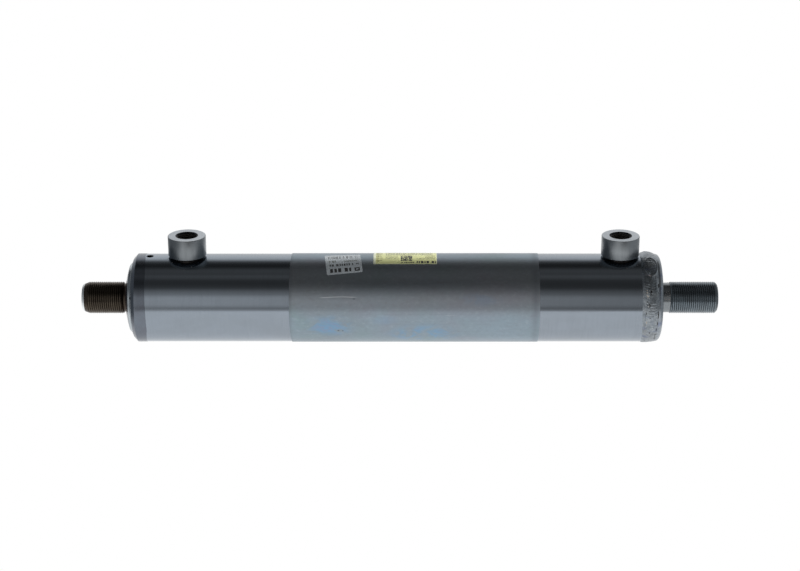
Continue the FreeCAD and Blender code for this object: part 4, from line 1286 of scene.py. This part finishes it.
def wmath(op, a, b=None, clamp=False):
    n = nt.nodes.new("ShaderNodeMath")
    n.operation, n.use_clamp = op, clamp
    for s_, v_ in zip(n.inputs, (a, b)):
        if v_ is None:
            continue
        if isinstance(v_, bpy.types.NodeSocket):
            nt.links.new(v_, s_)
        else:
            s_.default_value = v_
    return n.outputs[0]


alpha = wmath("ARCTAN2", sep.outputs[2], wmath("MULTIPLY", sep.outputs[1], -1.0))
fac = wmath("ADD", wmath("DIVIDE", alpha, TAU), 0.5)


def wramp(stops):
    n = nt.nodes.new("ShaderNodeValToRGB")
    cr = n.color_ramp
    while len(cr.elements) > 1:
        cr.elements.remove(cr.elements[-1])
    for k, (deg, c) in enumerate(stops):
        e = cr.elements[0] if k == 0 else cr.elements.new((deg + 180) / 360)
        e.position = (deg + 180) / 360
        c = (c, c, c) if isinstance(c, (int, float)) else c
        e.color = (*c, 1)
    nt.links.new(fac, n.inputs[0])
    return n.outputs[0]


SKY = wramp([(-180, 0.80), (-60, 0.95), (-20, 0.85), (-14, 0.66), (-10, 0.40), (-7, 0.34), (-3, 0.50), (2, 0.60), (18, 0.60), (23, 0.53),
             (28, 0.35), (34, 0.28), (39, 0.20), (44, 0.10), (49, 0.07), (57, 0.052), (66, 0.058), (72, 0.10), (78, 0.125), (84, 0.085),
             (92, 0.10), (98, 0.095), (104, 0.05), (110, 0.026), (118, 0.034), (126, 0.085), (131, 0.20), (136, 0.48), (141, 0.74),
             (147, 0.88), (160, 0.92), (180, 0.80)])
FRONT = wramp([(-24, 0.0), (-12, 1.0), (44, 1.0), (60, 0.0)])
side = wmath("ADD", wmath("MULTIPLY", sep.outputs[0], -1.86), 0.814)
side = wmath("MINIMUM", wmath("MAXIMUM", side, 0.35), 1.3)
gain = wmath("ADD", 1.0, wmath("MULTIPLY", FRONT, wmath("SUBTRACT", side, 1.0)))
mulc = nt.nodes.new("ShaderNodeMix")
mulc.data_type, mulc.blend_type = "RGBA", "MULTIPLY"
mulc.inputs[0].default_value = 1.0
nt.links.new(SKY, mulc.inputs[6])
nt.links.new(gain, mulc.inputs[7])
# towards the ends of the axis the room darkens, more at the rod's end
ends = mulc.outputs[2]
for sign, tone in ((-1.0, (0.185, 0.20, 0.215)), (1.0, (0.40, 0.415, 0.43))):
    pole = wmath("MULTIPLY", wmath("SUBTRACT", wmath("MULTIPLY", sep.outputs[0], sign), 0.36), 2.4, True)
    down = wmath("MULTIPLY", wmath("SUBTRACT", wmath("MULTIPLY", sep.outputs[2], -1.0), 0.38), 6.0, True)
    pole = wmath("MULTIPLY", pole, wmath("SUBTRACT", 1.0, down))
    poles = nt.nodes.new("ShaderNodeMix")
    poles.data_type = "RGBA"
    nt.links.new(pole, poles.inputs[0])
    nt.links.new(ends, poles.inputs[6])
    poles.inputs[7].default_value = (*tone, 1)
    ends = poles.outputs[2]
nt.links.new(ends, bgn.inputs["Color"])
nt.links.new(lp.outputs["Is Camera Ray"], mixs.inputs[0])
nt.links.new(bgn.outputs[0], mixs.inputs[1])
nt.links.new(bgc.outputs[0], mixs.inputs[2])
nt.links.new(mixs.outputs[0], wo.inputs[0])


def area(name, loc, aim, size, energy, colour=(1, 1, 1), glossy=False):
    d = bpy.data.lights.new(name, "AREA")
    d.shape, d.size, d.size_y, d.energy, d.color = "RECTANGLE", size[0], size[1], energy, colour
    o = bpy.data.objects.new(name, d)
    scene.collection.objects.link(o)
    o.location = loc
    o.rotation_euler = (Vector(aim) - Vector(loc)).to_track_quat("-Z", "Y").to_euler()
    o.visible_glossy = glossy
    return o


area("soft_top", (-0.4, -0.5, 1.9), (-0.25, 0, 0), (1.6, 1.2), 12.6)
area("soft_back", (0.1, 1.6, 0.9), (-0.25, 0, 0), (1.8, 1.0), 16.8)

ELEV = math.radians(21.0)
DIST = 1.85
SHIFT = 0.0114
cam = bpy.data.cameras.new("camera")
cam.sensor_width = 36.0
cam.lens = 36.0 * DIST / 0.7674
cam.dof.use_dof = False
cam.clip_end = 50
co = bpy.data.objects.new("camera", cam)
scene.collection.objects.link(co)
back = Vector((0, -math.cos(ELEV), math.sin(ELEV)))
up = Vector((0, math.sin(ELEV), math.cos(ELEV)))
aim = Vector((-0.2477, 0, 0)) + up * SHIFT
co.location = aim + back * DIST
co.rotation_euler = (-back).to_track_quat("-Z", "Y").to_euler()
scene.camera = co
